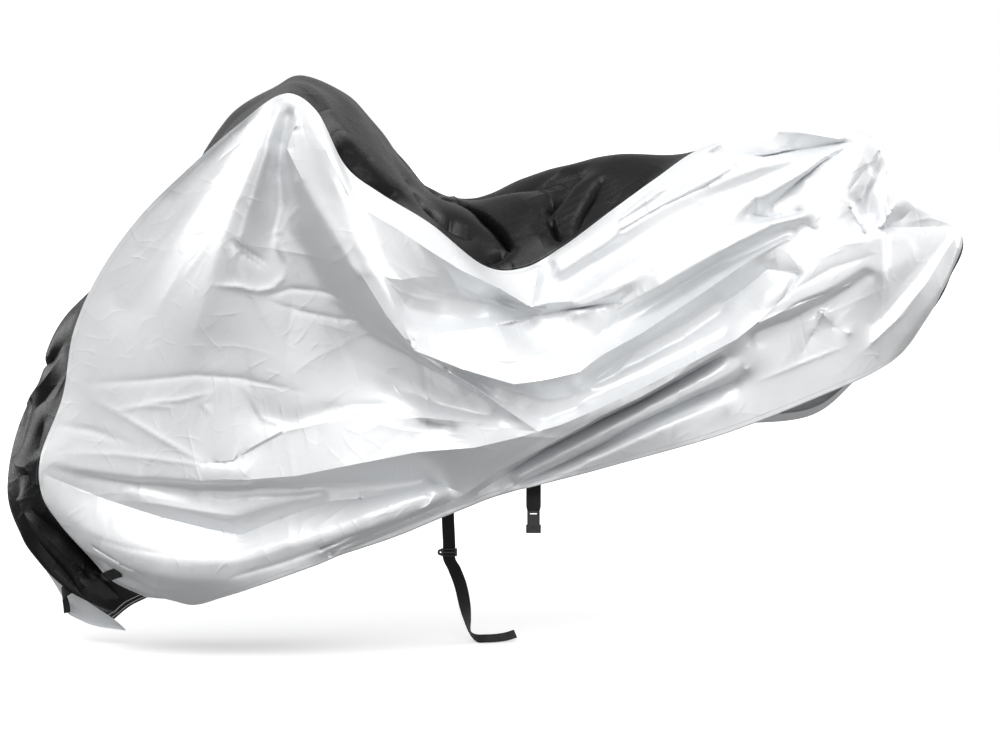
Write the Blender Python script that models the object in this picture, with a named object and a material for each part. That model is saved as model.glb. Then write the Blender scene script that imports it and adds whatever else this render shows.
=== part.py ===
"""Bicycle cover, draped: a hollow cloth shell of two silver side panels and a black centre strip.

Metres, +Z up, X along the bicycle with the front wheel's end at -X, Y across it.
The origin is where the handlebar carries the cover, under the top of the centre strip.

Stations run along the cover from 0 at the front hem to 30 at the rear hem. Every guide line and every
fold is given with its height above the ground, and put in the part's frame at the end.
"""

import bmesh
import bpy
import numpy as np
from mathutils import Matrix, Vector
from mathutils.bvhtree import BVHTree

# Driving dimensions
BAR_HEIGHT = 1.092  # from the ground up to the handlebar's top, where the cover hangs
SHEET = 0.002  # thickness of the draped cloth
GAP = 0.0007  # between neighbouring pieces
LAST_STATION = 30
WEBBING = 0.0018  # thickness of the straps and tabs
FAR_STRAP_WIDTH = 0.025
NEAR_STRAP_WIDTH = 0.028
TAB_WIDTH = 0.022

# Fineness of the surfaces that the folds are worked out on, and of the solids cut from them
FINE_ALONG = 8  # fine rows in one station
ROWS_PER_STATION = 2  # rows of faces in one station of a solid
NEAR_COLUMNS, STRIP_COLUMNS, FAR_COLUMNS, TUCK_COLUMNS = 16, 6, 10, 2
FINE_ACROSS = 6  # fine columns in one column of faces
FOLD_DEPTH = 1.2  # of the folds below, against what evening them out over the faces takes off

SILVER = (0.78, 0.80, 0.81, 1.0)
BLACK = (0.022, 0.022, 0.024, 1.0)
WEBBING_BLACK = (0.012, 0.012, 0.013, 1.0)
PLASTIC_BLACK = (0.020, 0.020, 0.021, 1.0)

# Guide lines: station, x, y, height
NEAR_SEAM = (
    (0, -0.295, -0.030, 0.105),
    (1, -0.360, -0.045, 0.140),
    (2, -0.395, -0.055, 0.180),
    (3, -0.455, -0.062, 0.250),
    (4, -0.490, -0.066, 0.310),
    (5, -0.490, -0.070, 0.385),
    (6, -0.445, -0.085, 0.500),
    (7, -0.420, -0.105, 0.625),
    (8, -0.365, -0.130, 0.740),
    (9, -0.285, -0.165, 0.845),
    (10, -0.195, -0.205, 0.930),
    (11, -0.100, -0.250, 1.010),
    (12, -0.010, -0.290, 1.070),
    (13, 0.050, -0.275, 1.040),
    (14, 0.100, -0.235, 0.940),
    (15, 0.160, -0.205, 0.890),
    (16, 0.255, -0.165, 0.830),
    (17, 0.355, -0.130, 0.750),
    (18, 0.430, -0.110, 0.745),
    (19, 0.505, -0.085, 0.785),
    (20, 0.595, -0.055, 0.850),
    (21, 0.680, -0.025, 0.910),
    (22, 0.765, 0.010, 0.965),
    (23, 0.855, 0.030, 0.985),
    (24, 0.968, 0.040, 0.985),
    (25, 1.065, 0.040, 0.980),
    (26, 1.120, 0.033, 0.945),
    (27, 1.136, 0.026, 0.880),
    (28, 1.266, 0.015, 0.812),
    (29, 1.250, 0.012, 0.725),
    (30, 1.203, 0.010, 0.640),
)
CROWN = (
    (0, -0.330, -0.008, 0.085),
    (1, -0.390, -0.014, 0.115),
    (2, -0.430, -0.018, 0.150),
    (3, -0.487, -0.020, 0.200),
    (4, -0.527, -0.022, 0.265),
    (5, -0.545, -0.022, 0.340),
    (6, -0.508, -0.024, 0.475),
    (7, -0.458, -0.022, 0.622),
    (8, -0.365, -0.020, 0.742),
    (9, -0.290, -0.012, 0.847),
    (10, -0.215, -0.005, 0.935),
    (11, -0.130, 0.010, 1.025),
    (12, -0.045, 0.040, 1.090),
    (13, 0.005, 0.060, 1.110),
    (14, 0.085, 0.090, 1.060),
    (15, 0.145, 0.108, 0.978),
    (16, 0.238, 0.118, 0.868),
    (17, 0.330, 0.112, 0.830),
    (18, 0.425, 0.100, 0.870),
    (19, 0.505, 0.090, 0.908),
    (20, 0.600, 0.080, 0.936),
    (21, 0.685, 0.075, 0.950),
    (22, 0.770, 0.085, 0.952),
    (23, 0.857, 0.105, 0.950),
    (24, 0.957, 0.108, 0.947),
    (25, 1.047, 0.102, 0.937),
    (26, 1.112, 0.092, 0.912),
    (27, 1.140, 0.077, 0.848),
    (28, 1.258, 0.060, 0.788),
    (29, 1.243, 0.050, 0.700),
    (30, 1.198, 0.042, 0.628),
)
FAR_SEAM = (
    (0, -0.365, 0.020, 0.055),
    (1, -0.412, 0.025, 0.085),
    (2, -0.460, 0.030, 0.120),
    (3, -0.502, 0.035, 0.158),
    (4, -0.550, 0.037, 0.225),
    (5, -0.572, 0.040, 0.315),
    (6, -0.540, 0.052, 0.455),
    (7, -0.440, 0.080, 0.630),
    (8, -0.355, 0.112, 0.740),
    (9, -0.275, 0.152, 0.845),
    (10, -0.185, 0.200, 0.932),
    (11, -0.095, 0.250, 1.005),
    (12, -0.010, 0.290, 1.062),
    (13, 0.050, 0.292, 1.045),
    (14, 0.110, 0.280, 0.965),
    (15, 0.170, 0.268, 0.912),
    (16, 0.260, 0.256, 0.850),
    (17, 0.350, 0.248, 0.805),
    (18, 0.430, 0.238, 0.790),
    (19, 0.505, 0.222, 0.803),
    (20, 0.595, 0.205, 0.822),
    (21, 0.680, 0.188, 0.845),
    (22, 0.765, 0.175, 0.862),
    (23, 0.855, 0.165, 0.872),
    (24, 0.955, 0.153, 0.868),
    (25, 1.040, 0.142, 0.855),
    (26, 1.104, 0.132, 0.828),
    (27, 1.138, 0.118, 0.780),
    (28, 1.234, 0.098, 0.730),
    (29, 1.222, 0.084, 0.665),
    (30, 1.185, 0.072, 0.608),
)
NEAR_HEM = (
    (0, -0.255, -0.045, 0.105),
    (2, -0.200, -0.085, 0.100),
    (4, -0.140, -0.112, 0.122),
    (6, -0.065, -0.128, 0.150),
    (8, 0.030, -0.136, 0.185),
    (11, 0.185, -0.142, 0.236),
    (14, 0.365, -0.146, 0.310),
    (17, 0.590, -0.140, 0.372),
    (20, 0.810, -0.125, 0.435),
    (23, 0.995, -0.105, 0.505),
    (26, 1.110, -0.075, 0.555),
    (28, 1.148, -0.048, 0.577),
    (30, 1.168, -0.020, 0.592),
)
FAR_HEM = (
    (0, -0.345, 0.040, 0.030),
    (1, -0.398, 0.052, 0.036),
    (2, -0.432, 0.062, 0.046),
    (3, -0.462, 0.072, 0.062),
    (4, -0.450, 0.098, 0.084),
    (6, -0.300, 0.128, 0.110),
    (8, -0.100, 0.142, 0.160),
    (11, 0.125, 0.152, 0.228),
    (14, 0.325, 0.156, 0.300),
    (17, 0.555, 0.150, 0.362),
    (20, 0.785, 0.140, 0.415),
    (23, 0.995, 0.125, 0.440),
    (26, 1.095, 0.105, 0.525),
    (28, 1.140, 0.085, 0.562),
    (30, 1.162, 0.065, 0.585),
)

# How far out each side stands between its seam and its hem: station, y at 1/4, 1/2 and 3/4 of the way down
NEAR_BELLY = (
    (0, -0.034, -0.040, -0.044),
    (2, -0.085, -0.105, -0.108),
    (4, -0.110, -0.142, -0.145),
    (6, -0.122, -0.152, -0.160),
    (8, -0.168, -0.188, -0.178),
    (10, -0.245, -0.235, -0.192),
    (12, -0.298, -0.248, -0.196),
    (14, -0.250, -0.225, -0.195),
    (16, -0.195, -0.205, -0.190),
    (18, -0.150, -0.175, -0.175),
    (20, -0.115, -0.152, -0.160),
    (22, -0.095, -0.137, -0.147),
    (24, -0.085, -0.122, -0.128),
    (26, -0.065, -0.097, -0.100),
    (28, -0.035, -0.055, -0.060),
    (30, -0.006, -0.014, -0.020),
)
FAR_BELLY = (
    (0, 0.027, 0.033, 0.038),
    (2, 0.040, 0.050, 0.058),
    (4, 0.060, 0.084, 0.098),
    (6, 0.100, 0.140, 0.152),
    (8, 0.165, 0.192, 0.182),
    (10, 0.245, 0.238, 0.198),
    (12, 0.302, 0.255, 0.205),
    (14, 0.285, 0.248, 0.205),
    (16, 0.262, 0.240, 0.200),
    (18, 0.245, 0.226, 0.192),
    (20, 0.220, 0.205, 0.178),
    (22, 0.196, 0.188, 0.162),
    (24, 0.172, 0.168, 0.146),
    (26, 0.146, 0.140, 0.124),
    (28, 0.106, 0.104, 0.096),
    (30, 0.072, 0.071, 0.068),
)
# Where the near side rolls over the top behind the saddle: station, y, rise over the straight line down
SHOULDER_AT = 0.07
SHOULDER = (
    (0, -0.031, 0.000),
    (2, -0.064, 0.000),
    (4, -0.080, 0.000),
    (6, -0.098, 0.000),
    (8, -0.143, 0.000),
    (10, -0.222, 0.000),
    (11, -0.276, 0.000),
    (12, -0.325, 0.004),
    (13, -0.292, 0.000),
    (14, -0.242, 0.000),
    (16, -0.175, 0.000),
    (18, -0.123, 0.000),
    (20, -0.075, 0.000),
    (22, -0.018, 0.030),
    (24, -0.008, 0.050),
    (26, -0.008, 0.050),
    (28, -0.008, 0.014),
    (30, 0.004, 0.004),
)
# The hem turned in under each side: station, inward, rise
TUCK = (
    (0, 0.016, 0.002),
    (2, 0.020, 0.002),
    (4, 0.030, 0.008),
    (6, 0.050, 0.020),
    (8, 0.060, 0.024),
    (14, 0.055, 0.024),
    (20, 0.035, 0.020),
    (26, 0.026, 0.016),
    (30, 0.012, 0.010),
)

# Folds: name, how round its edge is, then its line as x, height, how far it stands out
NEAR_FOLDS = (
    ("front crest by the seam", 0.014,
     ((-0.055, 1.045, 0.006), (-0.170, 0.940, 0.014), (-0.370, 0.690, 0.010))),
    ("front hollow", 0.014, ((-0.045, 1.030, 0.000), (-0.170, 0.915, -0.010), (-0.340, 0.680, -0.006))),
    ("front broad crest", 0.025, ((-0.040, 1.025, 0.004), (-0.165, 0.850, 0.028), (-0.235, 0.655, 0.020))),
    ("wedge under the bar", 0.018,
     ((-0.020, 1.015, -0.010), (-0.040, 0.915, -0.020), (-0.035, 0.825, -0.022))),
    ("bar hollow", 0.025,
     ((0.015, 0.785, -0.016), (0.070, 0.690, -0.020), (0.200, 0.560, -0.022), (0.365, 0.495, -0.010))),
    ("bar crest", 0.012,
     ((0.020, 1.050, 0.008), (-0.005, 0.970, 0.016), (0.050, 0.895, 0.024), (0.225, 0.610, 0.034))),
    ("crest under the dip", 0.012,
     ((0.030, 1.030, 0.006), (0.100, 0.895, 0.012), (0.255, 0.785, 0.024), (0.440, 0.680, 0.024))),
    ("hollow under the dip", 0.018,
     ((0.125, 0.830, -0.006), (0.255, 0.705, -0.024), (0.420, 0.650, -0.022))),
    ("middle crease", 0.012, ((0.210, 0.625, 0.000), (0.405, 0.645, -0.018), (0.615, 0.685, -0.008))),
    ("middle facet edge", 0.012,
     ((0.225, 0.605, 0.034), (0.405, 0.540, 0.034), (0.530, 0.555, 0.032), (0.615, 0.680, 0.014))),
    ("crest to the low junction", 0.012,
     ((0.225, 0.605, 0.034), (0.335, 0.530, 0.024), (0.455, 0.450, 0.026))),
    ("middle hollow", 0.018, ((0.480, 0.500, -0.006), (0.600, 0.545, -0.014), (0.785, 0.665, -0.008))),
    ("long crest to the tail", 0.012,
     ((0.455, 0.445, 0.026), (0.690, 0.565, 0.034), (1.030, 0.700, 0.018))),
    ("deep trough", 0.012, ((0.385, 0.370, -0.012), (0.600, 0.475, -0.030), (0.780, 0.585, -0.010))),
    ("band under the trough", 0.016, ((0.460, 0.375, 0.000), (0.650, 0.470, 0.008), (0.845, 0.590, 0.012))),
    ("second trough", 0.012, ((0.500, 0.365, -0.008), (0.690, 0.470, -0.016), (0.830, 0.530, -0.018))),
    ("hem band", 0.014,
     ((0.500, 0.355, 0.006), (0.880, 0.520, 0.012), (1.040, 0.620, 0.014), (1.240, 0.805, 0.006))),
    ("rear upper crest", 0.014,
     ((1.025, 0.980, 0.004), (0.905, 0.935, 0.022), (0.725, 0.875, 0.028), (0.450, 0.675, 0.014))),
    ("rear upper hollow", 0.012,
     ((1.030, 0.970, -0.008), (0.900, 0.865, -0.014), (0.835, 0.830, -0.006), (0.555, 0.685, -0.010))),
    ("rear middle crest", 0.012, ((0.960, 0.850, 0.010), (0.865, 0.815, 0.018), (0.725, 0.735, 0.022))),
    ("rear middle hollow", 0.012, ((0.935, 0.830, -0.006), (0.740, 0.715, -0.010), (0.640, 0.665, -0.014))),
    ("rear lower crest", 0.012,
     ((0.930, 0.820, 0.008), (0.860, 0.775, 0.014), (0.690, 0.665, 0.026), (0.530, 0.550, 0.032))),
    ("rear lower hollow", 0.014, ((0.940, 0.735, -0.006), (0.870, 0.710, -0.014), (0.805, 0.665, -0.016))),
    ("rear broad crest", 0.020, ((1.145, 0.830, 0.008), (1.005, 0.755, 0.018), (0.830, 0.635, 0.012))),
    ("tail knob", 0.014, ((1.070, 0.995, 0.010), (1.050, 0.935, 0.016), (1.025, 0.870, 0.012))),
    ("tail hollow", 0.014, ((1.110, 0.945, -0.006), (1.070, 0.900, -0.016), (1.080, 0.810, -0.018))),
    ("crest over the belly", 0.014,
     ((-0.095, 0.405, 0.004), (0.085, 0.475, 0.014), (0.335, 0.455, 0.022), (0.455, 0.450, 0.026))),
    ("long level crest", 0.018,
     ((-0.465, 0.410, 0.006), (-0.200, 0.380, 0.028), (0.030, 0.380, 0.032), (0.450, 0.445, 0.026))),
    ("long level hollow", 0.018,
     ((-0.465, 0.360, -0.004), (-0.130, 0.325, -0.016), (0.160, 0.345, -0.018), (0.385, 0.395, -0.012))),
    ("belly hollow", 0.014, ((-0.315, 0.295, -0.006), (-0.100, 0.240, -0.016), (0.055, 0.305, -0.008))),
    ("belly crest", 0.022,
     ((-0.445, 0.300, 0.004), (-0.220, 0.200, 0.026), (0.010, 0.245, 0.028), (0.240, 0.335, 0.020))),
    ("crease under the belly", 0.012,
     ((0.315, 0.320, -0.008), (0.160, 0.250, -0.014), (0.025, 0.180, -0.008))),
)
FAR_FOLDS = (
    ("front crest", 0.020, ((-0.070, 0.990, 0.008), (-0.190, 0.820, 0.020), (-0.330, 0.520, 0.012))),
    ("front hollow", 0.020, ((-0.030, 0.940, -0.008), (-0.120, 0.700, -0.018), (-0.250, 0.430, -0.010))),
    ("bar crest", 0.014, ((0.020, 1.020, 0.008), (0.060, 0.850, 0.024), (0.190, 0.600, 0.026))),
    ("hollow behind the bar", 0.018,
     ((0.110, 0.860, -0.010), (0.220, 0.690, -0.022), (0.330, 0.560, -0.014))),
    ("crest under the dip", 0.014, ((0.210, 0.840, 0.008), (0.380, 0.700, 0.024), (0.520, 0.560, 0.022))),
    ("saddle crest", 0.016, ((0.900, 0.840, 0.006), (0.700, 0.720, 0.024), (0.500, 0.550, 0.026))),
    ("saddle hollow", 0.016, ((0.930, 0.770, -0.008), (0.740, 0.640, -0.020), (0.560, 0.500, -0.014))),
    ("tail crest", 0.014,
     ((1.200, 0.700, 0.004), (0.980, 0.650, 0.022), (0.680, 0.500, 0.024), (0.420, 0.400, 0.014))),
    ("tail hollow", 0.014, ((1.100, 0.600, -0.006), (0.860, 0.530, -0.018), (0.560, 0.420, -0.016))),
    ("level crest", 0.020,
     ((-0.440, 0.330, 0.006), (-0.200, 0.360, 0.026), (0.100, 0.390, 0.026), (0.360, 0.400, 0.016))),
    ("level hollow", 0.020, ((-0.420, 0.250, -0.004), (-0.180, 0.290, -0.016), (0.120, 0.320, -0.014))),
    ("belly crest", 0.022,
     ((-0.420, 0.160, 0.006), (-0.180, 0.200, 0.024), (0.060, 0.250, 0.022), (0.260, 0.310, 0.012))),
)
# The strip's folds lie on the strip: station, share of the way from the near seam to the far one, out
STRIP_FOLDS = (
    ("nose crest", 0.12, ((0.6, 0.70, 0.003), (3.0, 0.50, 0.010), (5.5, 0.55, 0.012), (7.5, 0.50, 0.006))),
    ("nose hollow", 0.10, ((1.0, 0.30, -0.003), (3.5, 0.22, -0.007), (5.2, 0.25, -0.008))),
    ("ridge over the bar", 0.10, ((11.5, 0.10, 0.004), (12.6, 0.12, 0.012), (13.5, 0.10, 0.004))),
    ("fold down from the bar", 0.08,
     ((12.8, 0.40, 0.004), (14.5, 0.34, 0.016), (16.4, 0.24, 0.026), (18.0, 0.08, 0.012))),
    ("valley behind that fold", 0.08, ((14.4, 0.52, -0.008), (16.4, 0.46, -0.026), (18.2, 0.28, -0.026))),
    ("far slope crest", 0.10, ((17.6, 0.80, 0.010), (19.4, 0.66, 0.006), (21.6, 0.50, 0.004))),
    ("saddle hollow", 0.10, ((19.0, 0.30, -0.014), (20.6, 0.26, -0.012), (22.0, 0.25, -0.004))),
    ("rear crest", 0.10, ((23.0, 0.50, 0.008), (25.6, 0.45, 0.014), (28.0, 0.50, 0.006))),
    ("rear hollow", 0.10, ((24.0, 0.75, -0.008), (26.6, 0.72, -0.012), (28.6, 0.74, -0.004))),
)

# Tabs at the front corners. The near one: x and height of its root and tip, and the way its width runs
NEAR_TAB_CLEARANCE, FAR_TAB_CLEARANCE = 0.0011, 0.0006
NEAR_TAB_ROOT, NEAR_TAB_TIP = np.array([-0.367, 0.151]), np.array([-0.341, 0.1635])
NEAR_TAB_ACROSS = np.array([0.56, -0.83])
# The far one hangs: its root's x and height, then x, y and height from there, and the way its width runs
FAR_TAB_ROOT, FAR_TAB_ACROSS = np.array([-0.4445, 0.1195]), np.array([-0.45, 0.90])
FAR_TAB = (
    (-0.0130, -0.004, -0.0070, (-0.45, 0.10, 0.88)),
    (-0.0190, -0.001, -0.0165, (-0.20, 0.60, 0.75)),
    (-0.0150, 0.001, -0.0255, (0.20, 0.90, 0.30)),
    (-0.0120, 0.001, -0.0375, (0.38, 0.92, 0.00)),
    (-0.0110, 0.001, -0.0500, (0.38, 0.92, 0.00)),
)

# The strap under the middle. The near half and its buckle
STRAP_CLEARANCE = 0.0009  # under the sloping hem
NEAR_STRAP_Y = -0.120
BUCKLE_X, BUCKLE_TOP = 0.448, 0.2855
BUCKLE_SIZE, BUCKLE_EDGE = (0.0240, 0.0095, 0.0420), 0.0012
COLLAR_HEIGHT, COLLAR_STEP = 0.0150, 0.0022
SLOT_DROP, SLOT_WIDTH, SLOT_HEIGHT = 0.0058, 0.0130, 0.0030
MOUTH_WIDTH, MOUTH_DEPTH, MOUTH_REACH = 0.0185, 0.0058, 0.0240

# The far half: its top, then x, y, height and the way its width runs, down to the free end on the ground
FAR_STRAP_X, FAR_STRAP_Y = 0.2800, 0.128
FAR_STRAP = (
    ((0.2820, 0.131, 0.235), (1.00, 0.00, 0.10)),
    ((0.2842, 0.130, 0.185), (1.00, 0.00, 0.00)),
    ((0.2842, 0.130, 0.158), (1.00, 0.00, 0.00)),
    ((0.2950, 0.127, 0.136), (0.97, 0.00, 0.25)),
    ((0.3070, 0.120, 0.105), (0.97, 0.10, 0.25)),
    ((0.3150, 0.108, 0.070), (0.85, 0.40, 0.20)),
    ((0.3210, 0.097, 0.040), (0.50, 0.85, 0.12)),
    ((0.3265, 0.086, 0.017), (0.00, 1.00, 0.15)),
    ((0.3390, 0.078, 0.0075), (-0.10, 0.88, 0.46)),
    ((0.3570, 0.075, 0.0075), (-0.05, 0.88, 0.47)),
    ((0.3760, 0.080, 0.0075), (-0.15, 0.87, 0.47)),
    ((0.3970, 0.089, 0.0090), (-0.25, 0.85, 0.47)),
    ((0.4150, 0.098, 0.0130), (-0.25, 0.85, 0.47)),
)
SLIDE_X, SLIDE_Y, SLIDE_HEIGHT = 0.2842, 0.130, 0.1700
SLIDE_SIZE, SLIDE_EDGE = (0.0315, 0.0075, 0.0150), 0.0015
SLIDE_ROOM = 0.0009  # around the webbing inside the slide
LUG_X, LUG_RADIUS, LUG_DEPTH, LUG_HOLE_RADIUS = 0.2672, 0.0062, 0.0050, 0.0017


def cubic(knots, values, at):
    """A smooth curve through the values at the knots, read at the given places along the first axis."""
    knots = np.asarray(knots, float)
    values = np.asarray(values, float)
    at = np.clip(np.asarray(at, float), knots[0], knots[-1])
    slopes = np.gradient(values, knots, axis=0)
    i = np.clip(np.searchsorted(knots, at, side="right") - 1, 0, len(knots) - 2)
    span = (knots[i + 1] - knots[i]).reshape((-1,) + (1,) * (values.ndim - 1))
    t = (at - knots[i]).reshape(span.shape) / span
    start = values[i] * (1 + 2 * t) + slopes[i] * span * t
    end = values[i + 1] * (3 - 2 * t) - slopes[i + 1] * span * (1 - t)
    return start * (1 - t) ** 2 + end * t**2


def guide(rows, stations):
    rows = np.asarray(rows, float)
    return cubic(rows[:, 0], rows[:, 1:], stations)


def side_surface(seam, hem, belly, columns, shoulder=None):
    """Points of one side from its seam down to its hem, without folds: [column, station]."""
    knots = [0.0, 0.25, 0.5, 0.75, 1.0]
    straight = seam + (hem - seam) * np.reshape(knots, (-1, 1, 1))
    for k in range(3):
        straight[k + 1, :, 1] = belly[:, k]
    if shoulder is not None:
        over = seam + (hem - seam) * SHOULDER_AT
        over[:, 1] = shoulder[:, 0]
        over[:, 2] += shoulder[:, 1]
        knots.insert(1, SHOULDER_AT)
        straight = np.insert(straight, 1, over, axis=0)
    return cubic(knots, straight, np.linspace(0, 1, columns * FINE_ACROSS + 1))


def tuck_surface(hem, tuck, inward):
    """The turned-in hem, past the hem's edge: [column, station]."""
    share = np.arange(1, TUCK_COLUMNS * FINE_ACROSS + 1) / (TUCK_COLUMNS * FINE_ACROSS)
    share = share.reshape(-1, 1)
    turned = np.repeat(hem[None], len(share), axis=0)
    turned[:, :, 1] += inward * tuck[:, 0] * share
    turned[:, :, 2] += tuck[:, 1] * share**2
    return turned


def normals_of(points):
    """Outward unit normals of a grid of points that runs from the near hem over the top to the far hem."""
    along = np.gradient(points, axis=1)
    across = np.gradient(points, axis=0)
    normals = np.cross(across, along)
    return normals / np.maximum(np.linalg.norm(normals, axis=2, keepdims=True), 1e-12)


def fold_pull(places, folds):
    """How strongly each point of a grid is drawn to the folds' lines, and how far out they draw it."""
    strength = np.zeros(places.shape[:2])
    drawn = np.zeros(places.shape[:2])
    for _, roundness, line in folds:
        for start, end in zip(line, line[1:]):
            a, b = np.array(start[:2]), np.array(end[:2])
            share = np.clip((places - a) @ (b - a) / ((b - a) @ (b - a)), 0, 1)
            away = np.linalg.norm(places - a - share[..., None] * (b - a), axis=2)
            weight = 6.0 * np.exp(-((away / roundness) ** 2))
            strength += weight
            drawn += weight * (start[2] + (end[2] - start[2]) * share)
    return strength, drawn


def taut_between(strength, drawn, held_edges, rounds=700, speed=1.85):
    """The cloth's stand-off pulled taut between fold lines: each point is the mean of its neighbours."""
    out = np.zeros_like(strength)
    odd = np.indices(out.shape).sum(axis=0) % 2
    free = np.ones(out.shape, bool)
    free[:, 0] = free[:, -1] = False
    if held_edges:
        free[0] = free[-1] = False
    for _ in range(rounds):
        for parity in (0, 1):
            padded = np.pad(out, 1, mode="edge")
            around = padded[:-2, 1:-1] + padded[2:, 1:-1] + padded[1:-1, :-2] + padded[1:-1, 2:]
            new = (around + drawn) / (4 + strength)
            out += np.where(free & (odd == parity), speed * (new - out), 0)
    return out


def evened(out, columns, rows):
    """The stand-off averaged over about one face of the solid, so that its folds stay whole there."""
    for axis, width in ((0, columns), (1, rows)):
        reach = width // 2
        padding = [(reach, reach) if k == axis else (0, 0) for k in (0, 1)]
        padded = np.pad(out, padding, mode="edge")
        length = out.shape[axis]
        shifted = [np.take(padded, range(k, k + length), axis=axis) for k in range(2 * reach + 1)]
        out = sum(shifted) / len(shifted)
    return out


def material(name, colour, roughness, metallic):
    finish = bpy.data.materials.new(name)
    finish.use_nodes = True
    shader = finish.node_tree.nodes["Principled BSDF"]
    shader.inputs["Base Color"].default_value = colour
    shader.inputs["Roughness"].default_value = roughness
    shader.inputs["Metallic"].default_value = metallic
    finish.diffuse_color = colour
    return finish


def add_object(name, points, faces, finish):
    mesh = bpy.data.meshes.new(name)
    points = np.array(points, float)
    points[:, 2] -= BAR_HEIGHT
    mesh.from_pydata([tuple(point) for point in points], [], faces)
    mesh.materials.append(finish)
    mesh.shade_smooth()
    mesh.set_sharp_from_angle(angle=np.radians(60))
    obj = bpy.data.objects.new(name, mesh)
    bpy.context.scene.collection.objects.link(obj)
    return obj


def shell(name, outer, normals, finish, thickness=SHEET):
    """A closed sheet: the outer grid [column, station], and the same grid one thickness further in."""
    columns, rows = outer.shape[:2]
    layers = np.concatenate([outer.reshape(-1, 3), (outer - thickness * normals).reshape(-1, 3)])
    index = np.arange(columns * rows).reshape(columns, rows)
    under = index + columns * rows
    faces = []
    for i in range(columns - 1):
        for j in range(rows - 1):
            corners = [(i, j), (i + 1, j), (i + 1, j + 1), (i, j + 1)]
            # Both layers are split along the outer one's shorter diagonal, so that a warped face keeps its thickness
            across, other = (np.linalg.norm(outer[corners[k]] - outer[corners[k + 2]]) for k in (0, 1))
            if other < across:
                corners = corners[1:] + corners[:1]
            for triangle in (corners[:3], [corners[0], *corners[2:]]):
                faces.append(tuple(int(index[k]) for k in triangle))
                faces.append(tuple(int(under[k]) for k in reversed(triangle)))
    rim = list(index[:, 0]) + list(index[-1, 1:]) + list(index[-2::-1, -1]) + list(index[0, -2:0:-1])
    for a, b in zip(rim, rim[1:] + rim[:1]):
        faces.append((int(b), int(a), int(a) + under[0, 0], int(b) + under[0, 0]))
    return add_object(name, layers, faces, finish)


def cover_surface():
    """The whole cover as one grid from the near tuck to the far one, with folds, and its panels' columns."""
    stations = np.linspace(0, LAST_STATION, LAST_STATION * FINE_ALONG + 1)
    near_seam, crown, far_seam = (guide(rows, stations) for rows in (NEAR_SEAM, CROWN, FAR_SEAM))
    near_hem, far_hem = guide(NEAR_HEM, stations), guide(FAR_HEM, stations)
    tuck = guide(TUCK, stations)
    near_belly = guide(NEAR_BELLY, stations)
    near = side_surface(near_seam, near_hem, near_belly, NEAR_COLUMNS, guide(SHOULDER, stations))
    far = side_surface(far_seam, far_hem, guide(FAR_BELLY, stations), FAR_COLUMNS)
    share = np.linspace(0, 1, STRIP_COLUMNS * FINE_ACROSS + 1)
    strip = cubic([0, 0.5, 1], np.stack([near_seam, crown, far_seam]), share)
    whole = np.concatenate([near[::-1], strip[1:], far[1:]])
    normals = normals_of(whole)
    ends = np.cumsum([0, NEAR_COLUMNS, STRIP_COLUMNS, FAR_COLUMNS]) * FINE_ACROSS

    strip_places = np.stack(np.meshgrid(share, stations / 10, indexing="ij")[::-1], axis=2)
    strip_folds = [
        (name, roundness, [(station / 10, across, out) for station, across, out in line])
        for name, roundness, line in STRIP_FOLDS
    ]
    out = np.zeros(whole.shape[:2])
    for first, last, places, folds in (
        (ends[0], ends[1], near[::-1][:, :, [0, 2]], NEAR_FOLDS),
        (ends[1], ends[2], strip_places, strip_folds),
        (ends[2], ends[3], far[:, :, [0, 2]], FAR_FOLDS),
    ):
        taut = taut_between(*fold_pull(places, folds), held_edges=True)
        out[first : last + 1] += FOLD_DEPTH * evened(taut, FINE_ACROSS, FINE_ALONG // ROWS_PER_STATION)
    whole = whole + normals * out[:, :, None]

    near_tuck = tuck_surface(whole[0], tuck, 1)[::-1]
    far_tuck = tuck_surface(whole[-1], tuck, -1)
    return np.concatenate([near_tuck, whole, far_tuck]), ends + TUCK_COLUMNS * FINE_ACROSS


def add_panels(surface, ends, silver, black):
    """Cuts the grid into the two side panels and the strip, a gap apart at the seams."""
    faces_grid = surface[::FINE_ACROSS, :: FINE_ALONG // ROWS_PER_STATION]
    normals = normals_of(faces_grid)
    near_end, far_start = ends[1] // FINE_ACROSS, ends[2] // FINE_ACROSS
    last = len(faces_grid) - 1
    panels = []
    for name, first, end, finish in (
        ("near_panel", 0, near_end, silver),
        ("centre_strip", near_end, far_start, black),
        ("far_panel", far_start, last, silver),
    ):
        picked = faces_grid[first : end + 1].copy()
        facing = normals[first : end + 1]
        for edge, side, is_seam in ((0, 1, first > 0), (-1, -1, end < last)):
            if is_seam:
                off_seam = np.cross(np.gradient(picked[edge], axis=0), facing[edge])
                off_seam /= np.linalg.norm(off_seam, axis=1, keepdims=True)
                picked[edge] += side * off_seam * GAP / 2
        panels.append(shell(name, picked, facing, finish))
    return panels


def struck(panel, point, direction, clearance=0.0):
    """Where a straight line from a point meets a panel, and how far off its face to stay."""
    mesh = panel.data
    tree = BVHTree.FromPolygons([v.co for v in mesh.vertices], [f.vertices[:] for f in mesh.polygons])
    ground = Vector((0, 0, BAR_HEIGHT))
    place, facing, _, _ = tree.ray_cast(Vector(point) - ground, Vector(direction))
    return place + ground + clearance * facing


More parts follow.
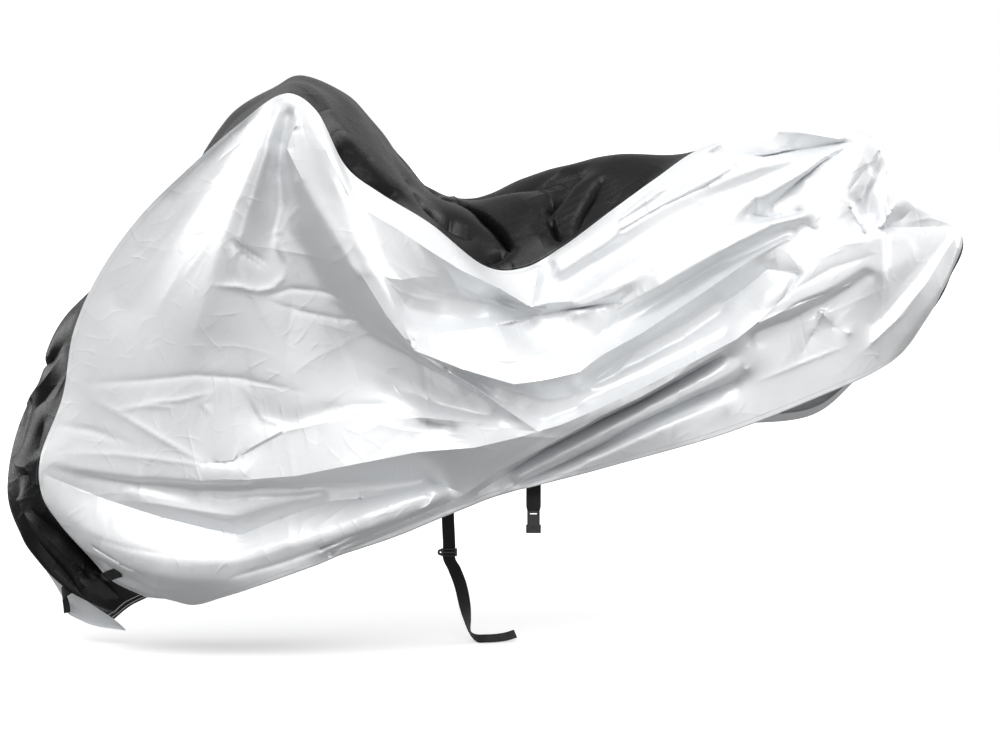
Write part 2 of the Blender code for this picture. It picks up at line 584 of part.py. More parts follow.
def ribbon(name, rows, width, finish, thickness=WEBBING, steps=3):
    """A flat band: rows of x, y, height and the direction of its width, joined smoothly."""
    rows = np.array(rows, float)
    places = np.linspace(0, len(rows) - 1, (len(rows) - 1) * steps + 1)
    smooth = cubic(range(len(rows)), rows, places)
    centre, across = smooth[:, :3], smooth[:, 3:]
    across /= np.linalg.norm(across, axis=1, keepdims=True)
    facing = np.cross(across, np.gradient(centre, axis=0))
    facing /= np.linalg.norm(facing, axis=1, keepdims=True)
    half_width, half_thick = across * width / 2, facing * thickness / 2
    corners = np.stack([
        centre - half_width - half_thick,
        centre + half_width - half_thick,
        centre + half_width + half_thick,
        centre - half_width + half_thick,
    ], axis=1)
    last = len(corners) - 1
    faces = [(0, 1, 2, 3), tuple(4 * last + k for k in (3, 2, 1, 0))]
    for row in range(last):
        for k in range(4):
            a, b = 4 * row + k, 4 * row + (k + 1) % 4
            if k < 2:
                faces += [(a, a + 4, b + 4), (a, b + 4, b)]
            else:
                faces += [(a, a + 4, b), (a + 4, b + 4, b)]
    return add_object(name, corners.reshape(-1, 3), faces, finish)


def block(name, centre, size, finish, edge=0.0):
    """A box with rounded edges."""
    mesh = bpy.data.meshes.new(name)
    shape = bmesh.new()
    bmesh.ops.create_cube(shape, size=1.0)
    bmesh.ops.scale(shape, vec=size, verts=shape.verts)
    if edge:
        bmesh.ops.bevel(shape, geom=shape.edges[:], offset=edge, segments=2, profile=0.5, affect="EDGES")
    shape.to_mesh(mesh)
    shape.free()
    mesh.materials.append(finish)
    obj = bpy.data.objects.new(name, mesh)
    obj.location = Vector(centre) - Vector((0, 0, BAR_HEIGHT))
    bpy.context.scene.collection.objects.link(obj)
    return obj


def rod_across(name, centre, radius, length, finish):
    """A round rod that lies along Y."""
    mesh = bpy.data.meshes.new(name)
    shape = bmesh.new()
    bmesh.ops.create_cone(shape, cap_ends=True, segments=24, radius1=radius, radius2=radius, depth=length)
    bmesh.ops.rotate(shape, matrix=Matrix.Rotation(np.pi / 2, 3, "X"), verts=shape.verts)
    shape.to_mesh(mesh)
    shape.free()
    mesh.materials.append(finish)
    obj = bpy.data.objects.new(name, mesh)
    obj.location = Vector(centre) - Vector((0, 0, BAR_HEIGHT))
    bpy.context.scene.collection.objects.link(obj)
    return obj


def combine(body, other, operation):
    """Joins or cuts the body with a helper, which stays as a hidden guide."""
    step = body.modifiers.new(f"{operation.lower()} {other.name}", "BOOLEAN")
    step.operation = operation
    step.solver = "EXACT"
    step.object = other
    other.hide_render = True
    other.display_type = "WIRE"


def add_tabs(near_panel, centre_strip, webbing):
    """The webbing tabs sewn in at the front corners: one lies on the silver side, the other hangs."""
    rows = []
    for share in np.linspace(0, 1, 4):
        centre = NEAR_TAB_ROOT + (NEAR_TAB_TIP - NEAR_TAB_ROOT) * share
        edges = []
        for side in (-0.5, 0.5):
            x, height = centre + side * TAB_WIDTH * NEAR_TAB_ACROSS
            edges.append(struck(near_panel, (x, -1.0, height), (0, 1, 0), NEAR_TAB_CLEARANCE + WEBBING / 2))
        rows.append((*((edges[0] + edges[1]) / 2), *(edges[1] - edges[0])))
    ribbon("near_tab", rows, TAB_WIDTH, webbing)

    edges = []
    for side in (-0.5, 0.5):
        x, height = FAR_TAB_ROOT + side * TAB_WIDTH * FAR_TAB_ACROSS
        edges.append(struck(centre_strip, (x, -1.0, height), (0, 1, 0), FAR_TAB_CLEARANCE + WEBBING / 2))
    root = (edges[0] + edges[1]) / 2
    rows = [(*root, *(edges[1] - edges[0]))]
    rows += [(root.x + dx, root.y + dy, root.z + dz, *across) for dx, dy, dz, across in FAR_TAB]
    ribbon("far_tab", rows, TAB_WIDTH, webbing)


def add_near_strap(near_panel, webbing, plastic):
    """The short half of the strap that holds the cover down in wind, with its buckle."""
    x, y = BUCKLE_X, NEAR_STRAP_Y
    ends = [struck(near_panel, (x + side * NEAR_STRAP_WIDTH / 2, y, 0), (0, 0, 1)) for side in (-1, 1)]
    slope = ends[1] - ends[0]
    top = (ends[0] + ends[1]) / 2 - Vector((0, 0, STRAP_CLEARANCE))
    rows = [(*top, *slope), (x, y, BUCKLE_TOP + 0.012, 1, 0, 0), (x, y, BUCKLE_TOP + GAP, 1, 0, 0)]
    ribbon("near_strap", rows, NEAR_STRAP_WIDTH, webbing)

    width, depth, height = BUCKLE_SIZE
    body = block("buckle_body", (x, y, BUCKLE_TOP - height / 2), BUCKLE_SIZE, plastic, BUCKLE_EDGE)
    collar = block(
        "buckle_collar",
        (x, y, BUCKLE_TOP - height + COLLAR_HEIGHT / 2),
        (width + 2 * COLLAR_STEP, depth + 2 * COLLAR_STEP, COLLAR_HEIGHT),
        plastic,
        BUCKLE_EDGE,
    )
    slot = block("buckle_slot", (x, y, BUCKLE_TOP - SLOT_DROP), (SLOT_WIDTH, 3 * depth, SLOT_HEIGHT), plastic)
    mouth = block(
        "buckle_mouth",
        (x, y, BUCKLE_TOP - height),
        (MOUTH_WIDTH, MOUTH_DEPTH, 2 * MOUTH_REACH),
        plastic,
    )
    combine(body, collar, "UNION")
    combine(body, slot, "DIFFERENCE")
    combine(body, mouth, "DIFFERENCE")


def add_far_strap(far_panel, webbing, plastic):
    """The long half of the strap, which hangs from the far hem to the ground, and the slide on it."""
    x, y = FAR_STRAP_X, FAR_STRAP_Y
    ends = [struck(far_panel, (x + side * FAR_STRAP_WIDTH / 2, y, 0), (0, 0, 1)) for side in (-1, 1)]
    top = (ends[0] + ends[1]) / 2 - Vector((0, 0, STRAP_CLEARANCE))
    rows = [(*top, *(ends[1] - ends[0]))] + [(*place, *across) for place, across in FAR_STRAP]
    ribbon("far_strap", rows, FAR_STRAP_WIDTH, webbing)

    place = (SLIDE_X, SLIDE_Y, SLIDE_HEIGHT)
    slide = block("strap_slide", place, SLIDE_SIZE, plastic, SLIDE_EDGE)
    lug = rod_across("slide_lug", (LUG_X, SLIDE_Y, SLIDE_HEIGHT), LUG_RADIUS, LUG_DEPTH, plastic)
    hole = rod_across("slide_hole", (LUG_X, SLIDE_Y, SLIDE_HEIGHT), LUG_HOLE_RADIUS, 3 * LUG_DEPTH, plastic)
    room = (FAR_STRAP_WIDTH + 2 * SLIDE_ROOM, WEBBING + SLIDE_ROOM, 2 * SLIDE_SIZE[2])
    passage = block("slide_passage", place, room, plastic)
    combine(slide, lug, "UNION")
    combine(slide, passage, "DIFFERENCE")
    combine(slide, hole, "DIFFERENCE")


def main():
    for obj in list(bpy.data.objects):
        bpy.data.objects.remove(obj, do_unlink=True)
    silver = material("silver_cloth", SILVER, 0.35, 0.6)
    black = material("black_cloth", BLACK, 0.45, 0.0)
    webbing = material("webbing", WEBBING_BLACK, 0.7, 0.0)
    plastic = material("buckle_plastic", PLASTIC_BLACK, 0.4, 0.0)
    surface, ends = cover_surface()
    near_panel, centre_strip, far_panel = add_panels(surface, ends, silver, black)
    add_tabs(near_panel, centre_strip, webbing)
    add_near_strap(near_panel, webbing, plastic)
    add_far_strap(far_panel, webbing, plastic)


main()
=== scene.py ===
"""Bicycle cover, draped: the looks of its silver side panels, black centre strip, straps and buckle.

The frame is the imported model, in metres, +Z up, with the front wheel's end at -X. Stations run along the
cover from 0 at the front hem to 30 at the rear hem. The tables of guide lines, webbing, folds and creases
are in millimetres, and all other sizes are in metres. Heights are above the ground until a piece is made.
"""

import bpy
import numpy as np
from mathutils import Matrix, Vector, noise


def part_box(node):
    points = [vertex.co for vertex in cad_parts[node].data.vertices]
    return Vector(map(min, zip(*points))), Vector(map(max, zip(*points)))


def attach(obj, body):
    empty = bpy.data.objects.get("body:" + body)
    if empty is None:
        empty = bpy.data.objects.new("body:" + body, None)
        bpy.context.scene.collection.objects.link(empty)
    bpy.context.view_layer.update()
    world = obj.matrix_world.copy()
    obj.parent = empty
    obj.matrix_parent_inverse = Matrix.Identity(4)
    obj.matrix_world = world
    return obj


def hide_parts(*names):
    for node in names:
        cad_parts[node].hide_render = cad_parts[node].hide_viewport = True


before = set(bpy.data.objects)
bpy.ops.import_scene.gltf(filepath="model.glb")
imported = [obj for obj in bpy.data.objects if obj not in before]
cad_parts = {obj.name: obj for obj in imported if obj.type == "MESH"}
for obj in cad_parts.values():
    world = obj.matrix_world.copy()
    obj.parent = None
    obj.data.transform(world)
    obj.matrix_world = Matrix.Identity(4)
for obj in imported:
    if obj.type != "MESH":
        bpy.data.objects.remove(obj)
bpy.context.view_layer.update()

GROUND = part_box("far_strap")[0][2]  # the strap's free end lies on it
BAR_HEIGHT = 1.092  # from the ground up to the handlebar's top, where the cover hangs
LAST_STATION = 30

# Fineness of the cloth: rows along it and columns across it
NEAR_GRID, STRIP_GRID, FAR_GRID = (430, 190), (430, 56), (380, 150)
TUCK_COLUMNS = 14

# Soft unevenness of the sides and of the strip: its size and its depth
SIDE_RUMPLE, STRIP_RUMPLE = (0.110, 0.0030), (0.070, 0.0030)
# Fine creases of a side: how many, how deep at most, and their least and greatest length and width
CREASE_COUNT, CREASE_DEPTH, CREASE_LENGTH, CREASE_WIDTH = 170, 0.0022, (0.025, 0.090), (0.004, 0.014)
# The points that the front's and the rear's run away from (x and height), and the x where the rear's start
FRONT_TOP, REAR_TOP, REAR_STARTS = (0.0, 1.15), (1.15, 1.0), 0.35
# Seeds of the unevenness, and then of the fine creases
NEAR_SEEDS, FAR_SEEDS, STRIP_SEED = (4.2, 11), (1.3, 12), 2.7

# The studio: how far the camera stands off, where it aims (x and height) and how many degrees it looks down
CAMERA_DISTANCE, CAMERA_AIM, CAMERA_DOWN = 6.0, (0.3846, 0.5327), 5.0
LENS_MM, SENSOR_MM = 112.32, 36.0
FLOOR_RADIUS, FARTHEST_SEEN = 60, 200
# The room's light from below and from above, and the slopes at which it starts and ends its change
ROOM_LIGHT, ROOM_CHANGE = (0.30, 0.66), (-0.3, 0.8)
# Soft lights: name, where it comes from, its spread in degrees, strength
SOFT_LIGHTS = (
    ("top_light", (0.0, -0.60, 0.80), 42, 2.2),
    ("front_light", (0.0, -1.0, -0.25), 60, 0.7),
    ("left_light", (-1.0, 0.35, 0.30), 45, 1.7),
    ("right_light", (1.0, 0.45, 0.30), 45, 1.3),
)

# Guide lines over the top, a row for each station: x, y, height of the near seam, the crown, the far seam
OVER_THE_TOP = (
    (-295, -30, 105, -330, -8, 85, -365, 20, 55),
    (-360, -45, 140, -390, -14, 115, -412, 25, 85),
    (-395, -55, 180, -430, -18, 150, -460, 30, 120),
    (-455, -62, 250, -487, -20, 200, -502, 35, 158),
    (-490, -66, 310, -527, -22, 265, -550, 37, 225),
    (-490, -70, 385, -545, -22, 340, -572, 40, 315),
    (-445, -85, 500, -508, -24, 475, -540, 52, 455),
    (-420, -105, 625, -458, -22, 622, -440, 80, 630),
    (-365, -130, 740, -356, -20, 730, -355, 112, 740),
    (-285, -165, 845, -278, -12, 826, -275, 152, 845),
    (-195, -205, 930, -203, -5, 911, -185, 200, 932),
    (-100, -250, 1010, -130, 10, 1025, -95, 250, 1005),
    (-10, -290, 1070, -45, 40, 1080, -10, 290, 1062),
    (50, -275, 1040, 5, 60, 1103, 50, 292, 1045),
    (100, -235, 940, 85, 90, 1066, 110, 280, 965),
    (160, -205, 890, 145, 108, 998, 170, 268, 912),
    (255, -165, 830, 238, 118, 884, 260, 256, 850),
    (355, -130, 750, 330, 112, 856, 350, 248, 805),
    (430, -110, 745, 425, 100, 900, 430, 238, 790),
    (505, -85, 785, 505, 90, 928, 505, 222, 803),
    (595, -55, 850, 600, 80, 951, 595, 205, 822),
    (680, -25, 910, 685, 75, 958, 680, 188, 845),
    (765, 10, 965, 770, 85, 959, 765, 175, 862),
    (855, 30, 985, 857, 105, 950, 855, 165, 872),
    (968, 40, 985, 957, 108, 947, 955, 153, 868),
    (1065, 40, 980, 1047, 102, 937, 1040, 142, 855),
    (1120, 33, 945, 1103, 92, 912, 1104, 132, 828),
    (1136, 26, 880, 1128, 77, 848, 1138, 118, 780),
    (1266, 15, 812, 1258, 60, 788, 1234, 98, 730),
    (1250, 12, 725, 1243, 50, 700, 1222, 84, 665),
    (1203, 10, 640, 1198, 42, 628, 1185, 72, 608),
)
NEAR_SEAM, CROWN, FAR_SEAM = (
    [(station, *row[first : first + 3]) for station, row in enumerate(OVER_THE_TOP)] for first in (0, 3, 6)
)
# The hems: station, x, y, height
NEAR_HEM = (
    (0, -255, -45, 105),
    (2, -200, -85, 100),
    (4, -140, -112, 122),
    (6, -65, -128, 150),
    (8, 30, -136, 185),
    (11, 185, -142, 236),
    (14, 365, -146, 310),
    (17, 590, -140, 372),
    (20.3, 810, -142, 435),
    (23.8, 995, -117, 505),
    (27, 1110, -84, 555),
    (28.6, 1148, -48, 577),
    (30, 1168, -20, 592),
)
FAR_HEM = (
    (0, -345, 40, 30),
    (1, -398, 52, 36),
    (2, -432, 62, 46),
    (3, -462, 72, 62),
    (4, -450, 98, 84),
    (6, -300, 128, 110),
    (8, -100, 142, 160),
    (11, 125, 152, 228),
    (14, 325, 156, 300),
    (17, 555, 150, 362),
    (20.3, 785, 140, 415),
    (23.8, 995, 125, 440),
    (27, 1095, 105, 525),
    (28.6, 1140, 85, 562),
    (30, 1162, 65, 585),
)

# How far out each side stands between its seam and its hem: station, y at 1/4, 1/2 and 3/4 of the way down
NEAR_BELLY = (
    (0, -34, -40, -44),
    (2, -85, -105, -108),
    (4, -110, -142, -145),
    (6, -122, -152, -160),
    (8, -168, -188, -178),
    (10, -245, -235, -192),
    (12, -298, -248, -196),
    (14, -250, -225, -195),
    (16, -195, -205, -190),
    (18, -150, -175, -175),
    (20, -115, -148, -156),
    (22, -95, -131, -140),
    (24, -85, -116, -124),
    (26, -65, -97, -100),
    (28, -35, -55, -60),
    (30, -6, -14, -20),
)
FAR_BELLY = (
    (0, 27, 33, 38),
    (2, 40, 50, 58),
    (4, 60, 84, 98),
    (6, 100, 140, 152),
    (8, 165, 192, 182),
    (10, 245, 238, 198),
    (12, 302, 255, 205),
    (14, 285, 248, 205),
    (16, 262, 240, 200),
    (18, 245, 226, 192),
    (20, 220, 205, 178),
    (22, 196, 188, 162),
    (24, 172, 168, 146),
    (26, 146, 140, 124),
    (28, 106, 104, 96),
    (30, 72, 71, 68),
)
# Where the near side rolls over the top behind the saddle, this share of the way down: station, y, rise
SHOULDER_AT = 0.07
SHOULDER = (
    (0, -31, 0),
    (2, -64, 0),
    (4, -80, 0),
    (6, -98, 0),
    (8, -143, 0),
    (10, -222, 0),
    (11, -276, 0),
    (12, -325, 4),
    (13, -292, 0),
    (14, -242, 0),
    (16, -175, 0),
    (18, -123, 0),
    (20, -75, 0),
    (22, -18, 30),
    (24, -8, 50),
    (26, -8, 50),
    (28, -8, 14),
    (30, 4, 4),
)
# The hem turned in under each side: station, inward, rise
TUCK = (
    (0, 16, 2),
    (2, 20, 2),
    (4, 30, 8),
    (6, 50, 20),
    (8, 60, 24),
    (14, 55, 24),
    (20, 35, 20),
    (26, 26, 16),
    (30, 12, 10),
)

# The webbing: rows of x, y, height, and the way its width runs
WEBBING = 0.0018
TAB_LAYER = 0.0010  # each of the two layers that a tab or the near strap is folded into
LAYERS_APART = 1.3  # from the middle of one layer to the middle of the other, in thicknesses
NEAR_WIDTH, FAR_WIDTH, TAB_WIDTH = 0.028, 0.025, 0.022  # of the straps and the tabs
GATHER, GATHERED = 0.010, 0.72  # how far up from the buckle the near strap is drawn in, to which share
ROWS_OF_WEBBING = 12  # rows of faces from one row of a table to the next
ACROSS_WEBBING, ROUND_WEBBING_EDGE = 9, 4  # points of its outline on a face and at an edge
NEAR_STRAP = (
    ((448, -120, 342), (0.97, 0, 0.26)),
    ((448, -120, 320), (1, 0, 0.03)),
    ((448, -120, 300), (1, 0, 0)),
    ((448, -120, 284.5), (1, 0, 0)),
)
FAR_STRAP = (
    ((280, 128, 296), (0.94, 0, 0.34)),
    ((282, 131, 235), (1, 0, 0.1)),
    ((284.2, 130, 185), (1, 0, 0)),
    ((284.2, 130, 158), (1, 0, 0)),
    ((295, 127, 136), (0.97, 0, 0.25)),
    ((307, 120, 105), (0.97, 0.1, 0.25)),
    ((315, 108, 70), (0.85, 0.4, 0.2)),
    ((321, 97, 40), (0.5, 0.85, 0.12)),
    ((326.5, 86, 17), (0, 1, 0.15)),
    ((339, 78, 7.5), (-0.1, 0.88, 0.46)),
    ((357, 75, 7.5), (-0.05, 0.88, 0.47)),
    ((376, 80, 7.5), (-0.15, 0.87, 0.47)),
    ((397, 89, 9), (-0.25, 0.85, 0.47)),
    ((415, 98, 13), (-0.25, 0.85, 0.47)),
)
NEAR_TAB = (
    ((-369, -54.5, 149), (0.59, 0.29, -0.75)),
    ((-357.9, -67.5, 154.6), (0.52, 0.35, -0.78)),
    ((-349.2, -78.5, 159), (0.53, 0.29, -0.8)),
    ((-341.9, -86.2, 162.4), (0.54, 0.25, -0.8)),
)
FAR_TAB = (
    ((-445.2, 18.5, 118.8), (-0.43, -0.29, 0.85)),
    ((-458.2, 14.5, 111.8), (-0.45, 0.1, 0.88)),
    ((-464.2, 17.5, 102.3), (-0.2, 0.6, 0.75)),
    ((-460.2, 19.5, 93.3), (0.2, 0.9, 0.3)),
    ((-457.2, 19.5, 81.3), (0.38, 0.92, 0)),
    ((-456.2, 19.5, 68.8), (0.38, 0.92, 0)),
)
TAB_CLEARANCE, STRAP_INSIDE = 0.0028, 0.0030  # from the cloth out to its tab, and in to a strap's end

# The buckle's half: a sleeve with a slot, a collar with grips and thumb hollows, and the mouth in its foot
SLEEVE_INSET, SLEEVE_CORNER = 0.0022, 0.0030
COLLAR_HEIGHT, COLLAR_CORNER = 0.0150, 0.0036
SLOT_DROP, SLOT_SIZE = 0.0058, (0.0130, 0.0030)
MOUTH_SIZE, MOUTH_REACH, MOUTH_CORNER = (0.0185, 0.0058), 0.0240, 0.0012
GROOVES, GROOVE_PITCH, FIRST_GROOVE, GROOVE_HEIGHT, GROOVE_DEPTH = 4, 0.0030, 0.0028, 0.0012, 0.0005
HOLLOW_LIFT, HOLLOW_RADIUS, HOLLOW_DEPTH = 0.0072, 0.0052, 0.0014
BUCKLE_EDGE = 0.00030
# The slide: its frame, its two windows, the room around the strap, and the lug with its eye
SLIDE_SIZE, SLIDE_WINDOW, WINDOW_LIFT = (0.0315, 0.0075, 0.0150), (0.0225, 0.0040), 0.0036
STRAP_ROOM = (0.0009, 0.00045)
LUG_X, LUG_RADIUS, LUG_DEPTH, LUG_HOLE_RADIUS = 0.2672, 0.0062, 0.0050, 0.0017
SLIDE_EDGE = 0.00035
THROUGH = 0.03  # more than either piece is deep, for a cut that goes right through
# Edges that turn more than the first are rounded, and those that turn more than the second stay edges
MOULD_ANGLE, SMOOTH_ANGLE = np.radians(40), np.radians(35)

